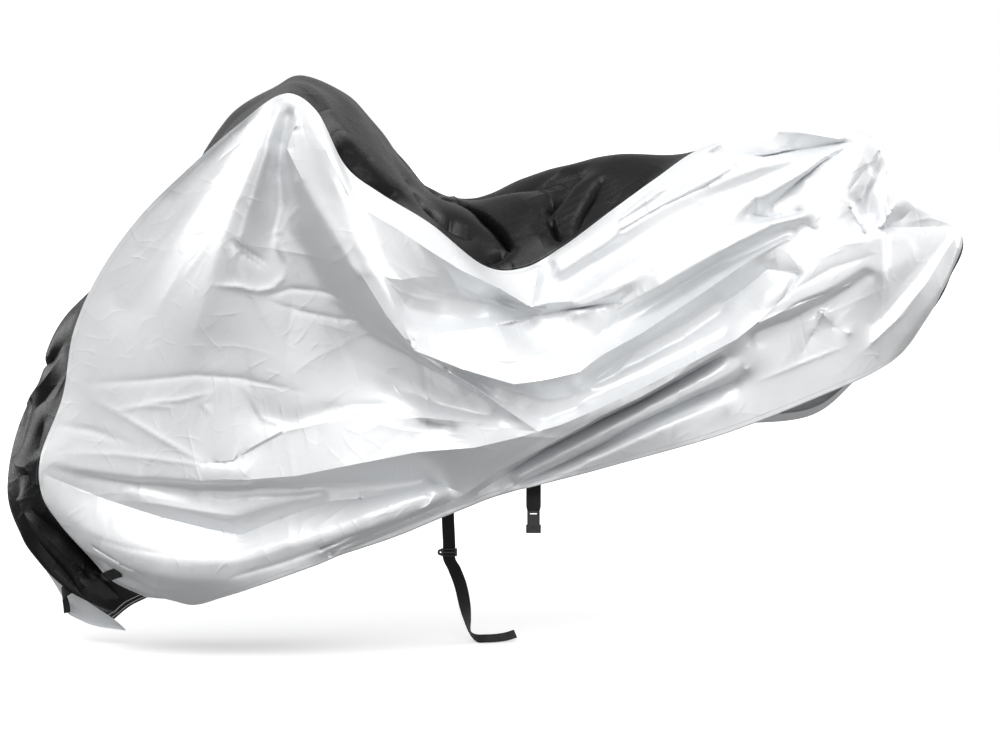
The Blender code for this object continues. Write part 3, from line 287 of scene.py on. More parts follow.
# Folds: name, how round its edge is (0 is sharp), then its line as x, height, how far it stands out
NEAR_FOLDS = (
    ("hollow before the bar", 16, ((-40, 1035, -2), (-90, 995, -12), (-142.5, 940, -16), (-205, 860, -16),
     (-265, 772.5, -12), (-315, 687.5, -8))),
    ("crest before the wedge", 10, ((-32.5, 1037.5, 4), (-47.5, 967.5, 15), (-80, 877.5, 24),
     (-105, 805, 26), (-142.5, 710, 18), (-172.5, 615, 10))),
    ("wedge hollow", 8, ((2.5, 1027.5, -20), (-10, 977.5, -32), (-15, 925, -36), (-12.5, 870, -34),
     (-22.5, 815, -27))),
    ("wedge's rear edge", 0, ((25, 1052.5, 7), (15, 1010, 14), (0, 972.5, 18), (27.5, 915, 26))),
    ("bar crest above", 9, ((27.5, 915, 25), (65, 862.5, 35), (100, 802.5, 47), (130, 747.5, 55))),
    ("bar crest", 0, ((130, 747.5, 55), (177.5, 667.5, 58), (227.5, 602.5, 57))),
    ("rear edge of the bar crest", 0, ((105, 890, 11), (137.5, 807.5, 24), (170, 737.5, 36),
     (200, 667.5, 48), (227.5, 602.5, 57))),
    ("fine line by the rear seam", 0, ((37.5, 1035, 10), (70, 967.5, 17), (105, 890, 11))),
    ("crest under the rear seam", 0, ((105, 890, 11), (147.5, 852.5, 21), (200, 820, 27), (255, 782.5, 33),
     (310, 747.5, 38), (385, 710, 39), (442.5, 675, 36))),
    ("edge in the hollow", 0, ((170, 737.5, 36), (205, 730, 12), (240, 735, 0), (272.5, 732.5, -4),
     (307.5, 717.5, -12), (347.5, 695, -21), (407.5, 670, -27))),
    ("hollow under the rear seam", 12, ((222.5, 687.5, -9), (275, 675, -33), (347.5, 667.5, -45),
     (400, 662.5, -39), (437.5, 662.5, -18))),
    ("crease over the bright facet", 0, ((220, 617.5, 51), (255, 627.5, 24), (292.5, 632.5, 9),
     (385, 642.5, -9), (422.5, 650, -14), (467.5, 660, -12), (525, 670, -6), (572.5, 677.5, 3),
     (610, 680, 15))),
    ("second line of that crease", 0, ((250, 615, 36), (292.5, 620, 20), (345, 630, 6))),
    ("lower edge of the bright facet", 0, ((227.5, 602.5, 57), (312.5, 567.5, 54), (410, 537.5, 51),
     (470, 545, 50), (530, 557.5, 50))),
    ("dent in the bright facet", 0, ((610, 680, 15), (595, 652.5, 0), (572.5, 625, 0), (550, 612.5, 9))),
    ("curl in the bright facet", 0, ((502.5, 575, 36), (495, 597.5, 15), (510, 612.5, 9), (550, 612.5, 9))),
    ("soft edge in the bright facet", 0, ((400, 570, 36), (477.5, 577.5, 33), (520, 570, 39))),
    ("low crest from the bar", 0, ((227.5, 602.5, 57), (272.5, 572.5, 51), (347.5, 525, 42),
     (377.5, 502.5, 38), (455, 447.5, 42))),
    ("big hollow", 20, ((-2.5, 787.5, -20), (40, 695, -26), (117.5, 610, -32), (200, 562.5, -30),
     (282.5, 527.5, -21), (350, 502.5, 0))),
    ("crease under the dip", 0, ((455, 745, 15), (450, 712.5, 21), (442.5, 675, 36))),
    ("facet behind the dip", 6, ((477.5, 747.5, 0), (470, 712.5, 0), (462.5, 682.5, 9))),
    ("crease behind the dip", 0, ((442.5, 675, 36), (475, 670, 6), (497.5, 672.5, 6), (530, 675, 12))),
    ("lap behind the dip", 0, ((442.5, 675, 36), (475, 682.5, 30), (525, 685, 24))),
    ("valley under the middle", 12, ((385, 517.5, 18), (422.5, 500, 12), (467.5, 482.5, 6),
     (520, 497.5, 0))),
    ("valley over the long crest", 6, ((520, 497.5, 0), (570, 520, 3), (665, 560, 3), (757.5, 602.5, 6),
     (800, 625, 12))),
    ("long crest to the tail", 0, ((455, 447.5, 42), (497.5, 460, 45), (572.5, 492.5, 46), (665, 535, 46),
     (760, 582.5, 44), (825, 615, 39), (857.5, 640, 30), (947.5, 682.5, 21), (1042.5, 715, 12))),
    ("lip of the trough", 0, ((320, 322.5, 6), (385, 370, 24), (460, 412.5, 38), (570, 475, 44),
     (645, 510, 44), (767.5, 577.5, 40), (812.5, 602.5, 36))),
    ("floor of the trough", 0, ((342.5, 322.5, -14), (400, 357.5, -33), (470, 402.5, -45),
     (577.5, 460, -48), (652.5, 495, -44), (767.5, 560, -27), (800, 580, -6))),
    ("band under the trough", 8, ((422.5, 352.5, -3), (497.5, 392.5, 6), (572.5, 432.5, 9),
     (665, 482.5, 10), (760, 530, 12), (827.5, 570, 15))),
    ("lip of the second trough", 0, ((497.5, 385, 4), (572.5, 422.5, 8), (647.5, 465, 9), (760, 517.5, 9),
     (832.5, 547.5, 9))),
    ("second trough", 0, ((390, 325, -10), (497.5, 372.5, -27), (572.5, 410, -33), (647.5, 455, -34),
     (760, 505, -32), (830, 532.5, -22))),
    ("end of the second trough", 0, ((830, 532.5, -21), (840, 545, -3), (847.5, 557.5, 12))),
    ("hem crest", 8, ((440, 325, 2), (555, 377.5, 6), (685, 435, 6), (797.5, 482.5, 3))),
    ("valley under the top facet", 0, ((787.5, 962.5, -9), (850, 955, -30), (887.5, 952.5, -38),
     (952.5, 965, -36), (1040, 980, -9))),
    ("crest of the top", 0, ((827.5, 987.5, 6), (880, 1000, 15), (955, 997.5, 15), (1035, 985, 6))),
    ("small lap at the top", 0, ((827.5, 930, 15), (842.5, 945, -9), (850, 955, -30))),
    ("first rear roll", 10, ((935, 952.5, 9), (860, 935, 21), (765, 907.5, 27), (670, 865, 30),
     (575, 802.5, 28), (497.5, 752.5, 21))),
    ("crease on the first roll", 0, ((827.5, 930, 14), (767.5, 895, 15), (687.5, 857.5, 15),
     (612.5, 815, 14))),
    ("valley under the first roll", 8, ((1022.5, 962.5, -3), (952.5, 937.5, 0), (877.5, 907.5, 0),
     (802.5, 875, 0), (725, 837.5, 0), (650, 792.5, 0), (555, 740, 0), (502.5, 707.5, -3))),
    ("second rear roll", 10, ((1042.5, 970, 3), (952.5, 922.5, 22), (857.5, 877.5, 33), (762.5, 827.5, 38),
     (667.5, 767.5, 39), (592.5, 715, 38), (530, 675, 24))),
    ("sharp crease to the pocket", 0, ((1040, 967.5, -3), (990, 937.5, -12), (952.5, 907.5, -15),
     (900, 862.5, -16))),
    ("pocket", 0, ((867.5, 870, 18), (867.5, 842.5, -18), (890, 840, -20), (950, 852.5, -9))),
    ("third rear roll", 6, ((955, 845, 18), (885, 827.5, 27), (800, 785, 34), (685, 720, 38),
     (610, 680, 15))),
    ("small crescent", 0, ((935, 832.5, 18), (955, 827.5, 3), (977.5, 815, -3))),
    ("valley under the third roll", 7, ((930, 812.5, -6), (865, 780, -12), (797.5, 750, -16),
     (722.5, 705, -20), (647.5, 662.5, -16), (595, 635, -6))),
    ("fourth rear roll", 0, ((927.5, 800, 12), (862.5, 767.5, 22), (760, 700, 34), (647.5, 627.5, 44),
     (572.5, 587.5, 48), (530, 557.5, 50))),
    ("three-cornered hollow", 0, ((865, 762.5, 15), (887.5, 742.5, -9), (942.5, 735, 6))),
    ("three-cornered hollow's foot", 0, ((887.5, 742.5, -9), (842.5, 705, -21), (792.5, 670, -22))),
    ("crest behind the hollow", 0, ((942.5, 735, 6), (917.5, 692.5, 21), (857.5, 640, 30))),
    ("valley under the fourth roll", 10, ((792.5, 670, -22), (720, 620, -22), (645, 580, -21),
     (570, 537.5, -12))),
    ("broad rear crest", 20, ((1130, 782.5, 8), (1062.5, 760, 21), (972.5, 715, 28), (907.5, 677.5, 24))),
    ("soft rear valley", 10, ((1072.5, 730, 4), (1037.5, 700, 0), (975, 667.5, -6), (912.5, 637.5, -9),
     (867.5, 617.5, -9))),
    ("streak behind the seam", 0, ((802.5, 975, 4), (747.5, 942.5, 6), (680, 897.5, 8), (612.5, 845, 6))),
    ("shade behind the seam", 6, ((817.5, 950, 0), (757.5, 915, 0), (687.5, 875, 0), (615, 830, 0))),
    ("notch", 0, ((990, 662.5, 8), (1012.5, 632.5, -6), (1042.5, 622.5, 8))),
    ("notch's foot", 0, ((990, 662.5, 8), (972.5, 617.5, -10), (955, 587.5, -8))),
    ("first knob", 8, ((1075, 990, 14), (1057.5, 937.5, 22), (1047.5, 897.5, 21))),
    ("first knob's edge", 0, ((1105, 967.5, 9), (1070, 922.5, 12), (1040, 885, 18), (1045, 857.5, 12),
     (1075, 807.5, -21))),
    ("first knob's hollow", 6, ((1112.5, 960, -6), (1105, 922.5, -18), (1080, 885, -21),
     (1082.5, 842.5, -33))),
    ("island in the hollow", 0, ((1090, 915, 9), (1077.5, 897.5, 10), (1067.5, 872.5, 6))),
    ("second knob", 0, ((1145, 877.5, 15), (1125, 847.5, 18), (1100, 815, 3))),
    ("second knob's crown", 0, ((1145, 877.5, 15), (1160, 867.5, 15), (1175, 857.5, 8))),
    ("second knob's crease", 0, ((1175, 857.5, 8), (1150, 832.5, -9), (1102.5, 817.5, -12))),
    ("tail top", 0, ((1180, 857.5, 10), (1222.5, 842.5, 12), (1257.5, 817.5, 6))),
    ("tail valley", 0, ((1102.5, 817.5, -15), (1175, 817.5, -9), (1247.5, 820, -2))),
    ("fold in the rear band", 0, ((1252.5, 797.5, 4), (1192.5, 712.5, 12), (1132.5, 645, 14),
     (1087.5, 605, 12))),
    ("rear band hollow", 6, ((1240, 797.5, -3), (1172.5, 725, -6), (1115, 667.5, -6), (1087.5, 642.5, -3))),
    ("tail rim", 4, ((1257.5, 770, 4), (1212.5, 700, 10), (1155, 620, 12), (1117.5, 577.5, 9))),
    ("edge of the level band", 0, ((-170, 382.5, 16), (-112.5, 390, 17), (-60, 420, 11), (-7.5, 447.5, 8),
     (67.5, 465, 9))),
    ("crest over the belly", 0, ((67.5, 465, 9), (160, 470, 18), (242.5, 472.5, 26), (347.5, 462.5, 34),
     (422.5, 450, 40), (455, 447.5, 42))),
    ("pucker in that crest", 0, ((242.5, 472.5, 26), (250, 462.5, 6), (272.5, 457.5, 12),
     (295, 457.5, 26))),
    ("start of the level crest", 12, ((-487.5, 380, 1), (-412.5, 372.5, 9), (-295, 362.5, 16),
     (-180, 355, 24), (-95, 355, 30))),
    ("long level crest", 0, ((-95, 355, 30), (10, 365, 40), (102.5, 385, 53), (235, 410, 52),
     (337.5, 417.5, 50), (422.5, 437.5, 45), (455, 447.5, 42))),
    ("long level hollow", 8, ((-465, 360, -1), (-350, 337.5, -4), (-252.5, 335, -8), (-100, 332.5, -13),
     (12.5, 332.5, -21), (122.5, 335, -26), (230, 342.5, -18))),
    ("light fold in that hollow", 6, ((-315, 325, 0), (-215, 297.5, -1), (-130, 280, -2), (-60, 302.5, -6),
     (47.5, 322.5, -15))),
    ("belly hollow", 0, ((-477.5, 347.5, -2), (-370, 310, -8), (-252.5, 275, -14), (-167.5, 255, -17),
     (-102.5, 242.5, -17), (-27.5, 275, -16), (67.5, 307.5, -19), (120, 312.5, -18), (195, 325, -6),
     (242.5, 330, 9))),
    ("belly crest", 12, ((-470, 280, 3), (-395, 225, 17), (-315, 197.5, 24), (-192.5, 180, 31),
     (-107.5, 180, 33), (-12.5, 212.5, 37), (62.5, 235, 41), (140, 270, 42), (215, 300, 36),
     (257.5, 317.5, 24))),
    ("lip beside the belly", 0, ((242.5, 330, 9), (257.5, 317.5, 24), (252.5, 305, 30), (195, 277.5, 33),
     (120, 250, 32), (45, 220, 23))),
    ("beak over the lip", 0, ((242.5, 347.5, -21), (282.5, 335, -6), (320, 322.5, 6))),
    ("crease under the lip", 0, ((320, 322.5, 6), (272.5, 297.5, -9), (215, 272.5, -15), (140, 240, -13),
     (65, 210, -7))),
    ("front edge of the belly", 0, ((-392.5, 220, 4), (-337.5, 190, 10), (-282.5, 160, 13),
     (-235, 122.5, 9), (-200, 105, 3))),
    ("hollow in front of the belly", 0, ((-372.5, 180, -2), (-330, 155, -9), (-285, 130, -11),
     (-252.5, 110, -5))),
    ("crumple", 0, ((-160, 385, 18), (-110, 392.5, 20), (-97.5, 427.5, 12))),
    ("crumple's far side", 0, ((-102.5, 395, 14), (-80, 415, 18), (-20, 447.5, 9))),
    ("hollow under the front", 12, ((-80, 532.5, -6), (-57.5, 487.5, -8), (-5, 472.5, -7), (70, 495, -8))),
)
# Thin creases on top of them: name, width, how far they stand out, then the line as x, height
NEAR_LINES = (
    ("slanting line", 6, 3.9, ((-378, 495), (-312, 463), (-245, 427), (-165, 385))),
    ("line over the front's shade", 7, -3.9, ((-393, 527), (-280, 537), (-182, 550), (-98, 545),
     (15, 520))),
    ("white facet", 5, 3.4, ((-280, 495), (-212, 502), (-150, 520))),
    ("white facet's return", 4, 2.9, ((-150, 520), (-168, 497), (-152, 475))),
    ("second white facet", 5, 2.9, ((-335, 480), (-273, 490), (-217, 487))),
    ("dark crease in the wedge", 5, -6.5, ((-110, 805), (-85, 777), (-52, 752))),
    ("crease beside it", 4, -5.2, ((-102, 805), (-75, 782), (-43, 760))),
    ("ridge in the wedge", 5, 5.9, ((22, 868), (-3, 843), (-15, 820), (-37, 812))),
    ("ridge's branch", 4, 4.6, ((-3, 843), (-18, 795), (-10, 765))),
    ("curl in the wedge", 5, 5.2, ((-145, 720), (-95, 718), (-60, 710), (-33, 715), (-15, 733), (-5, 762))),
    ("line in the wedge", 4, -3.9, ((-45, 700), (0, 713), (52, 708), (95, 698))),
    ("lower line in the wedge", 4, -3.9, ((-43, 690), (18, 670), (90, 655), (193, 655))),
    ("short line in the wedge", 4, 3.2, ((72, 695), (113, 672), (147, 657))),
    ("line by the bar crest", 3, 2.9, ((113, 762), (128, 708), (147, 657))),
    ("lens's upper line", 6, 3.9, ((-90, 532), (-58, 470), (-3, 450), (68, 477), (90, 497))),
    ("line to the low crest", 6, -3.4, ((62, 487), (110, 495), (172, 495), (240, 477))),
    ("hollow's first line", 4, 3.2, ((172, 735), (198, 710), (237, 693), (270, 688))),
    ("hollow's second line", 4, -3.4, ((228, 720), (255, 705), (295, 703))),
    ("low front line", 6, -3.6, ((-455, 445), (-388, 438), (-312, 417))),
    ("level band's line", 5, 2.9, ((-432, 393), (-335, 395), (-233, 388), (-120, 375))),
    ("line in the level hollow", 6, 3.4, ((-347, 307), (-255, 302), (-168, 290), (-102, 282))),
    ("second line in the hollow", 6, -2.9, ((-385, 352), (-312, 340), (-203, 335))),
    ("belly's first line", 6, -3.4, ((-403, 240), (-320, 220), (-212, 205))),
    ("belly's second line", 6, 2.9, ((-182, 215), (-98, 215), (5, 242))),
    ("belly's third line", 5, -3.9, ((-122, 165), (-28, 193), (75, 230), (158, 258))),
    ("hem's line", 4, -5.9, ((37, 185), (133, 225), (228, 265), (320, 305))),
    ("second line by the hem", 4, 3.4, ((113, 203), (235, 247), (357, 295))),
    ("line under the corner", 5, -3.4, ((-370, 185), (-320, 168), (-270, 145))),
    ("first line of the middle", 4, 3.1, ((275, 670), (325, 650), (378, 635))),
    ("bright facet's line", 4, -3.1, ((328, 593), (395, 573), (475, 580))),
    ("line off the long crest", 4, 3.1, ((507, 517), (570, 542), (645, 590), (698, 618))),
    ("second line off it", 4, -2.9, ((590, 555), (665, 603), (740, 652))),
    ("third line off it", 4, 2.9, ((655, 613), (715, 652), (770, 675))),
    ("rear field's line", 5, 3.1, ((762, 755), (830, 797), (902, 823))),
    ("rear field's second line", 5, -3.1, ((693, 695), (767, 738), (828, 767))),
    ("top field's line", 5, 2.9, ((665, 810), (752, 860), (835, 892))),
    ("top field's second line", 5, -2.6, ((615, 825), (695, 870), (767, 907))),
    ("line on the broad crest", 5, 3.1, ((960, 755), (1030, 790), (1115, 802))),
    ("second line on it", 5, -3.1, ((922, 700), (1005, 745), (1095, 772))),
    ("rear band's line", 4, 2.9, ((1067, 585), (1147, 655), (1205, 735))),
    ("hem field's line", 5, -3.1, ((595, 422), (700, 460), (810, 500))),
    ("hem field's second line", 5, 2.9, ((873, 535), (963, 570), (1035, 598))),
    ("knob's line", 3, 3.1, ((1045, 860), (1062, 830), (1085, 805))),
    ("knob's second line", 3, 2.9, ((1060, 965), (1077, 945), (1085, 915))),
    ("tail's line", 3, 2.6, ((1163, 828), (1205, 835), (1252, 823))),
)
FAR_FOLDS = (
    ("front crest", 0, ((-50, 1000, 6), (-160, 860, 18), (-280, 640, 20), (-360, 460, 10))),
    ("front hollow", 20, ((-20, 960, -8), (-110, 740, -22), (-220, 500, -12))),
    ("front dent", 0, ((-210, 670, 2), (-165, 625, -20), (-115, 635, -4))),
    ("bar crest", 0, ((20, 1020, 8), (60, 880, 28), (120, 740, 38), (190, 620, 36))),
    ("bar crest's front branch", 0, ((190, 620, 36), (100, 540, 22), (-20, 490, 10))),
    ("bar crest's rear branch", 0, ((190, 620, 36), (300, 550, 32), (420, 500, 30))),
    ("wide hollow", 20, ((-20, 760, -18), (20, 640, -22), (60, 560, -14))),
    ("hollow behind the bar", 0, ((100, 900, -4), (170, 780, -22), (240, 700, -28), (340, 640, -18))),
    ("crest under the dip", 0, ((200, 840, 6), (300, 770, 22), (400, 700, 30), (460, 660, 28))),
    ("first saddle crest", 0, ((900, 850, 4), (760, 770, 20), (600, 690, 28), (460, 660, 28))),
    ("valley under it", 10, ((920, 790, -6), (760, 700, -14), (600, 620, -18), (480, 580, -10))),
    ("second saddle crest", 0, ((1000, 760, 8), (820, 680, 26), (640, 590, 34), (500, 530, 32),
     (420, 500, 30))),
    ("pocket", 0, ((850, 745, 4), (810, 712, -16), (765, 706, -6))),
    ("valley over the tail crest", 8, ((1080, 690, -8), (920, 630, -16), (740, 560, -18), (580, 490, -12))),
    ("tail crest", 0, ((1200, 700, 3), (1040, 650, 20), (860, 580, 32), (680, 510, 34), (520, 450, 28),
     (420, 425, 20))),
    ("tail's upright crease", 0, ((1100, 820, 8), (1070, 740, -10), (1080, 660, 12))),
    ("tail hollow", 0, ((1120, 600, -4), (920, 540, -20), (720, 470, -24), (560, 420, -14))),
    ("hem crest", 12, ((1100, 550, 6), (900, 470, 18), (660, 400, 20), (460, 360, 10))),
    ("level crest", 0, ((-440, 360, 3), (-320, 380, 22), (-160, 390, 34), (20, 400, 38), (200, 420, 36),
     (340, 430, 28), (420, 425, 20))),
    ("crease down to it", 0, ((-360, 460, 10), (-240, 420, 22), (-160, 390, 34))),
    ("pinch in it", 0, ((20, 400, 38), (40, 440, 18), (100, 480, 10))),
    ("level hollow", 10, ((-420, 300, -4), (-240, 310, -22), (-40, 330, -26), (160, 360, -20),
     (300, 380, -8))),
    ("belly hollow", 0, ((-400, 240, -2), (-240, 250, -16), (-80, 260, -22), (60, 300, -16))),
    ("belly crest", 12, ((-420, 180, 4), (-240, 190, 22), (-60, 220, 28), (100, 270, 24), (260, 330, 12))),
)
FAR_LINES = (
    ("front's line", 6, -3, ((-300, 580), (-220, 520), (-120, 490))),
    ("front's second line", 6, 2.6, ((-170, 760), (-210, 660), (-270, 560))),
    ("line beside the bar crest", 5, 2.6, ((50, 800), (80, 700), (130, 620))),
    ("line in the wide hollow", 6, -3.2, ((-20, 700), (40, 620), (120, 580))),
    ("line behind the bar", 5, 2.6, ((160, 850), (230, 760), (320, 700))),
    ("line under the dip", 6, -2.8, ((300, 620), (400, 580), (500, 580))),
    ("saddle's line", 6, 2.6, ((860, 800), (740, 730), (640, 680))),
    ("saddle's second line", 6, -2.6, ((780, 715), (660, 650), (560, 615))),
    ("tail's line", 6, 2.6, ((1120, 730), (1000, 700), (900, 660))),
    ("tail's second line", 6, -2.8, ((1020, 620), (880, 560), (760, 525))),
    ("level line", 6, 2.4, ((-360, 340), (-200, 345), (-60, 362))),
    ("belly's line", 7, -2.8, ((-300, 215), (-140, 235), (0, 250))),
    ("hem's line", 6, -2.8, ((200, 340), (340, 370), (480, 395))),
    ("hem's second line", 6, 2.6, ((560, 395), (740, 440), (900, 500))),
)
# The strip's folds lie on the strip: station, share of the way from the near seam to the far one, out
STRIP_FOLDS = (
    ("light streak beside the bar", 0, ((12.3, 0.14, 6), (13.15, 0.06, 14), (14.05, 0.12, 20),
     (14.9, 0.08, 20), (15.4, 0.08, 12))),
    ("dark side of the streak", 0.05, ((13, 0.32, -3), (13.75, 0.28, -9), (14.65, 0.2, -12),
     (15.3, 0.16, -12))),
    ("second streak", 0, ((13.15, 0.03, 3), (13.65, 0.03, 10), (14.2, 0.03, 12), (14.8, 0.03, 4))),
    ("lobe's rear edge", 0, ((15.3, 0.58, 4), (15.6, 0.58, 12), (15.9, 0.64, 18), (16.25, 0.4, 20),
     (16.65, 0.4, 21), (17.1, 0.3, 19), (17.5, 0.16, 15), (17.7, 0.08, 8))),
    ("valley behind the lobe", 0.05, ((16.7, 0.42, -14), (17.2, 0.34, -20), (17.7, 0.2, -22),
     (18, 0.1, -16), (18.2, 0.03, -6))),
    ("dent in the lobe", 0, ((15.55, 0.28, 3), (15.65, 0.16, -9), (15.85, 0.12, 3))),
    ("crease in the lobe", 0, ((15.85, 0.12, 6), (16.15, 0.16, 18), (16.5, 0.2, 15), (16.8, 0.16, 6))),
    ("lower crease in the lobe", 0, ((16.3, 0.04, 3), (16.6, 0.03, 12), (16.95, 0.03, 6),
     (17.55, 0.08, 3))),
    ("long edge of the slope", 0, ((16.9, 0.52, 9), (17.95, 0.4, 14), (19.35, 0.38, 15))),
    ("facet's edge on the slope", 0, ((19.35, 0.38, 15), (19.1, 0.28, 14), (18.75, 0.22, 9),
     (18.6, 0.2, 4))),
    ("dark fold", 0, ((18.55, 0.2, -15), (18.4, 0.12, -21), (18.55, 0.03, -6))),
    ("dark fold's edge", 0, ((18.7, 0.16, 9), (18.85, 0.06, 9), (19.05, 0.03, 3))),
    ("first upright fold", 0, ((19.85, 0.26, 3), (19.6, 0.16, 8), (19.4, 0.1, 8), (19.25, 0.03, 3))),
    ("hollow beside it", 0.03, ((19.4, 0.26, -4), (19.15, 0.16, -6), (19, 0.06, -4))),
    ("second upright fold", 0, ((20.4, 0.16, 2), (20.1, 0.06, 6), (19.9, 0.03, 3))),
    ("third upright fold", 0, ((20.95, 0.12, 2), (20.65, 0.04, 6), (20.4, 0.03, 2))),
    ("first nose fold", 0, ((6.9, 0.14, 4), (6.6, 0.4, 10), (6.25, 0.97, 6))),
    ("second nose fold", 0, ((6.65, 0.16, 3), (6.25, 0.4, -9), (6.1, 0.97, -3))),
    ("third nose fold", 0, ((6.25, 0.14, 3), (6.05, 0.36, 9), (5.85, 0.97, 4))),
    ("bump by the nose seam", 0, ((5.85, 0.22, 3), (5.6, 0.28, 14), (5.3, 0.2, 9), (5.1, 0.04, 2))),
    ("fourth nose fold", 0, ((5.35, 0.92, 6), (4.85, 0.28, 16), (4.15, 0.06, 18), (3.7, 0.08, 6))),
    ("hollow over that fold", 0, ((5.35, 0.68, -4), (4.95, 0.2, -14), (4.3, 0.03, -10))),
    ("fifth nose fold", 0, ((4.55, 0.56, 6), (3.95, 0.6, 15), (3.05, 0.44, 16), (1.9, 0.5, 12),
     (1.35, 0.4, 4))),
    ("hollow by the fifth fold", 0, ((4.5, 0.52, -6), (3.45, 0.28, -15), (2.45, 0.2, -16),
     (1.55, 0.12, -10), (1, 0.03, -3))),
    ("sixth nose fold", 0, ((4, 0.36, 4), (2.9, 0.16, 12), (2.05, 0.12, 14), (0.9, 0.1, 9),
     (0.6, 0.03, 3))),
    ("hollow by the far seam", 0.04, ((3.3, 0.97, -6), (2.1, 0.88, -12), (0.85, 0.76, -9))),
    ("curved fold by the hem", 0, ((2.2, 0.5, 3), (1.7, 0.38, 12), (1.05, 0.34, 12), (0.45, 0.42, 4))),
    ("hollow beside it", 0, ((1.95, 0.56, -3), (1.4, 0.5, -10), (0.7, 0.52, -8), (0.35, 0.58, -2))),
    ("crease in front of the bar", 0, ((11.7, 0.28, 3), (9.8, 0.32, 10), (7.6, 0.36, 4))),
    ("second crease in front of it", 0, ((11.8, 0.64, 3), (9.6, 0.68, 12), (7.2, 0.62, 4))),
    ("hollow in front of the bar", 0.06, ((11, 0.48, -4), (9.2, 0.5, -10), (7.2, 0.5, -4))),
    ("crease beyond the bar", 0, ((12.6, 0.7, 3), (13.6, 0.76, 12), (15, 0.7, 6))),
    ("nose's far crest", 0, ((1, 0.8, 4), (3, 0.8, 12), (5, 0.74, 12), (6.8, 0.76, 4))),
    ("valley over the crown", 0, ((16.65, 0.44, -16), (16.55, 0.62, -14), (16.3, 0.86, -4))),
    ("far slope crest", 0, ((14, 0.84, 4), (16, 0.8, 16), (18.2, 0.86, 6))),
    ("far slope hollow", 0.05, ((15, 0.6, -6), (17.2, 0.68, -14), (19.5, 0.62, -6))),
    ("saddle's far crest", 0, ((18.6, 0.9, 3), (20.4, 0.72, 12), (23, 0.66, 6))),
    ("saddle's middle crease", 0, ((20.6, 0.52, 3), (21.6, 0.46, 10), (22.6, 0.3, 4))),
    ("rear crest", 0, ((22.6, 0.42, 4), (24.4, 0.5, 10), (26.4, 0.48, 4), (28.6, 0.5, 6))),
    ("rear hollow", 0.05, ((23.6, 0.76, -6), (26.2, 0.72, -12), (28.6, 0.76, -4))),
    ("rear near hollow", 0.05, ((24, 0.22, -6), (26.6, 0.2, -12), (28.8, 0.24, -4))),
    ("crease across the rear", 0, ((25, 0.12, 2), (25.6, 0.4, 10), (25.4, 0.7, 8), (26, 0.9, 2))),
    ("crease over the tail", 0, ((27.4, 0.14, 2), (27, 0.44, 10), (27.6, 0.84, 2))),
)
STATIONS_WIDE = 10  # stations that count as the strip's width where the reach of its folds is measured
STRIP_FOLD_REACH = 0.05  # how far from a fold points are looked for that may lie on it, in strip widths

# ---------------------------------------------------------------- curves and surfaces


def cubic(knots, values, at):
    """A smooth curve through the values at the knots, read at the given places along the first axis."""
    knots = np.asarray(knots, float)
    values = np.asarray(values, float)
    at = np.clip(np.asarray(at, float), knots[0], knots[-1])
    slopes = np.gradient(values, knots, axis=0)
    i = np.clip(np.searchsorted(knots, at, side="right") - 1, 0, len(knots) - 2)
    span = (knots[i + 1] - knots[i]).reshape((-1,) + (1,) * (values.ndim - 1))
    t = (at - knots[i]).reshape(span.shape) / span
    start = values[i] * (1 + 2 * t) + slopes[i] * span * t
    end = values[i + 1] * (3 - 2 * t) - slopes[i + 1] * span * (1 - t)
    return start * (1 - t) ** 2 + end * t**2


def guide(rows, stations):
    """A table's columns at the given stations, in metres."""
    rows = np.asarray(rows, float)
    return cubic(rows[:, 0], rows[:, 1:] / 1000, stations)


def in_metres(rows):
    """The rows of a table of folds or creases, whose columns are all in millimetres."""
    return [(name, *(np.array(column) / 1000 for column in columns)) for name, *columns in rows]


def even_stations(first, second, rows):
    """Stations that lie evenly along two guide lines taken together."""
    fine = np.linspace(0, LAST_STATION, LAST_STATION * 40 + 1)
    steps = [np.linalg.norm(np.diff(guide(line, fine), axis=0), axis=1) for line in (first, second)]
    run = np.concatenate([[0], np.cumsum(np.maximum(*steps))])
    return np.interp(np.linspace(0, run[-1], rows + 1), run, fine)


def side_surface(seam, hem, belly, columns, shoulder=None):
    """Points of one side from its seam down to its hem, without folds: [column, row]."""
    knots = [0.0, 0.25, 0.5, 0.75, 1.0]
    across = seam + (hem - seam) * np.reshape(knots, (-1, 1, 1))
    across[1:4, :, 1] = belly.T
    if shoulder is not None:
        over = seam + (hem - seam) * SHOULDER_AT
        over[:, 1] = shoulder[:, 0]
        over[:, 2] += shoulder[:, 1]
        knots.insert(1, SHOULDER_AT)
        across = np.insert(across, 1, over, axis=0)
    return cubic(knots, across, np.linspace(0, 1, columns + 1))


def with_tuck(side, tuck, inward):
    """The side with its hem turned in under it."""
    share = np.arange(1, TUCK_COLUMNS + 1).reshape(-1, 1) / TUCK_COLUMNS
    turned = np.repeat(side[-1:], TUCK_COLUMNS, axis=0)
    turned[:, :, 1] += inward * tuck[:, 0] * share
    turned[:, :, 2] += tuck[:, 1] * share**2
    return np.concatenate([side, turned])


def normals_of(points):
    """Unit normals of a grid of points."""
    normals = np.cross(np.gradient(points, axis=0), np.gradient(points, axis=1))
    return normals / np.maximum(np.linalg.norm(normals, axis=2, keepdims=True), 1e-12)


def eased_in(columns, speed):
    """A share for each column, from 0 at the first up to 1, reached the sooner the higher the speed."""
    return np.minimum(1, speed * np.linspace(0, 1, columns))[:, None]


# ---------------------------------------------------------------- folds


def within(places, ends, margin):
    """Which places lie in the box around the ends of a stretch, or less than a margin outside it."""
    low, high = np.min(ends, axis=0) - margin, np.max(ends, axis=0) + margin
    return ((places > low) & (places < high)).all(axis=2)


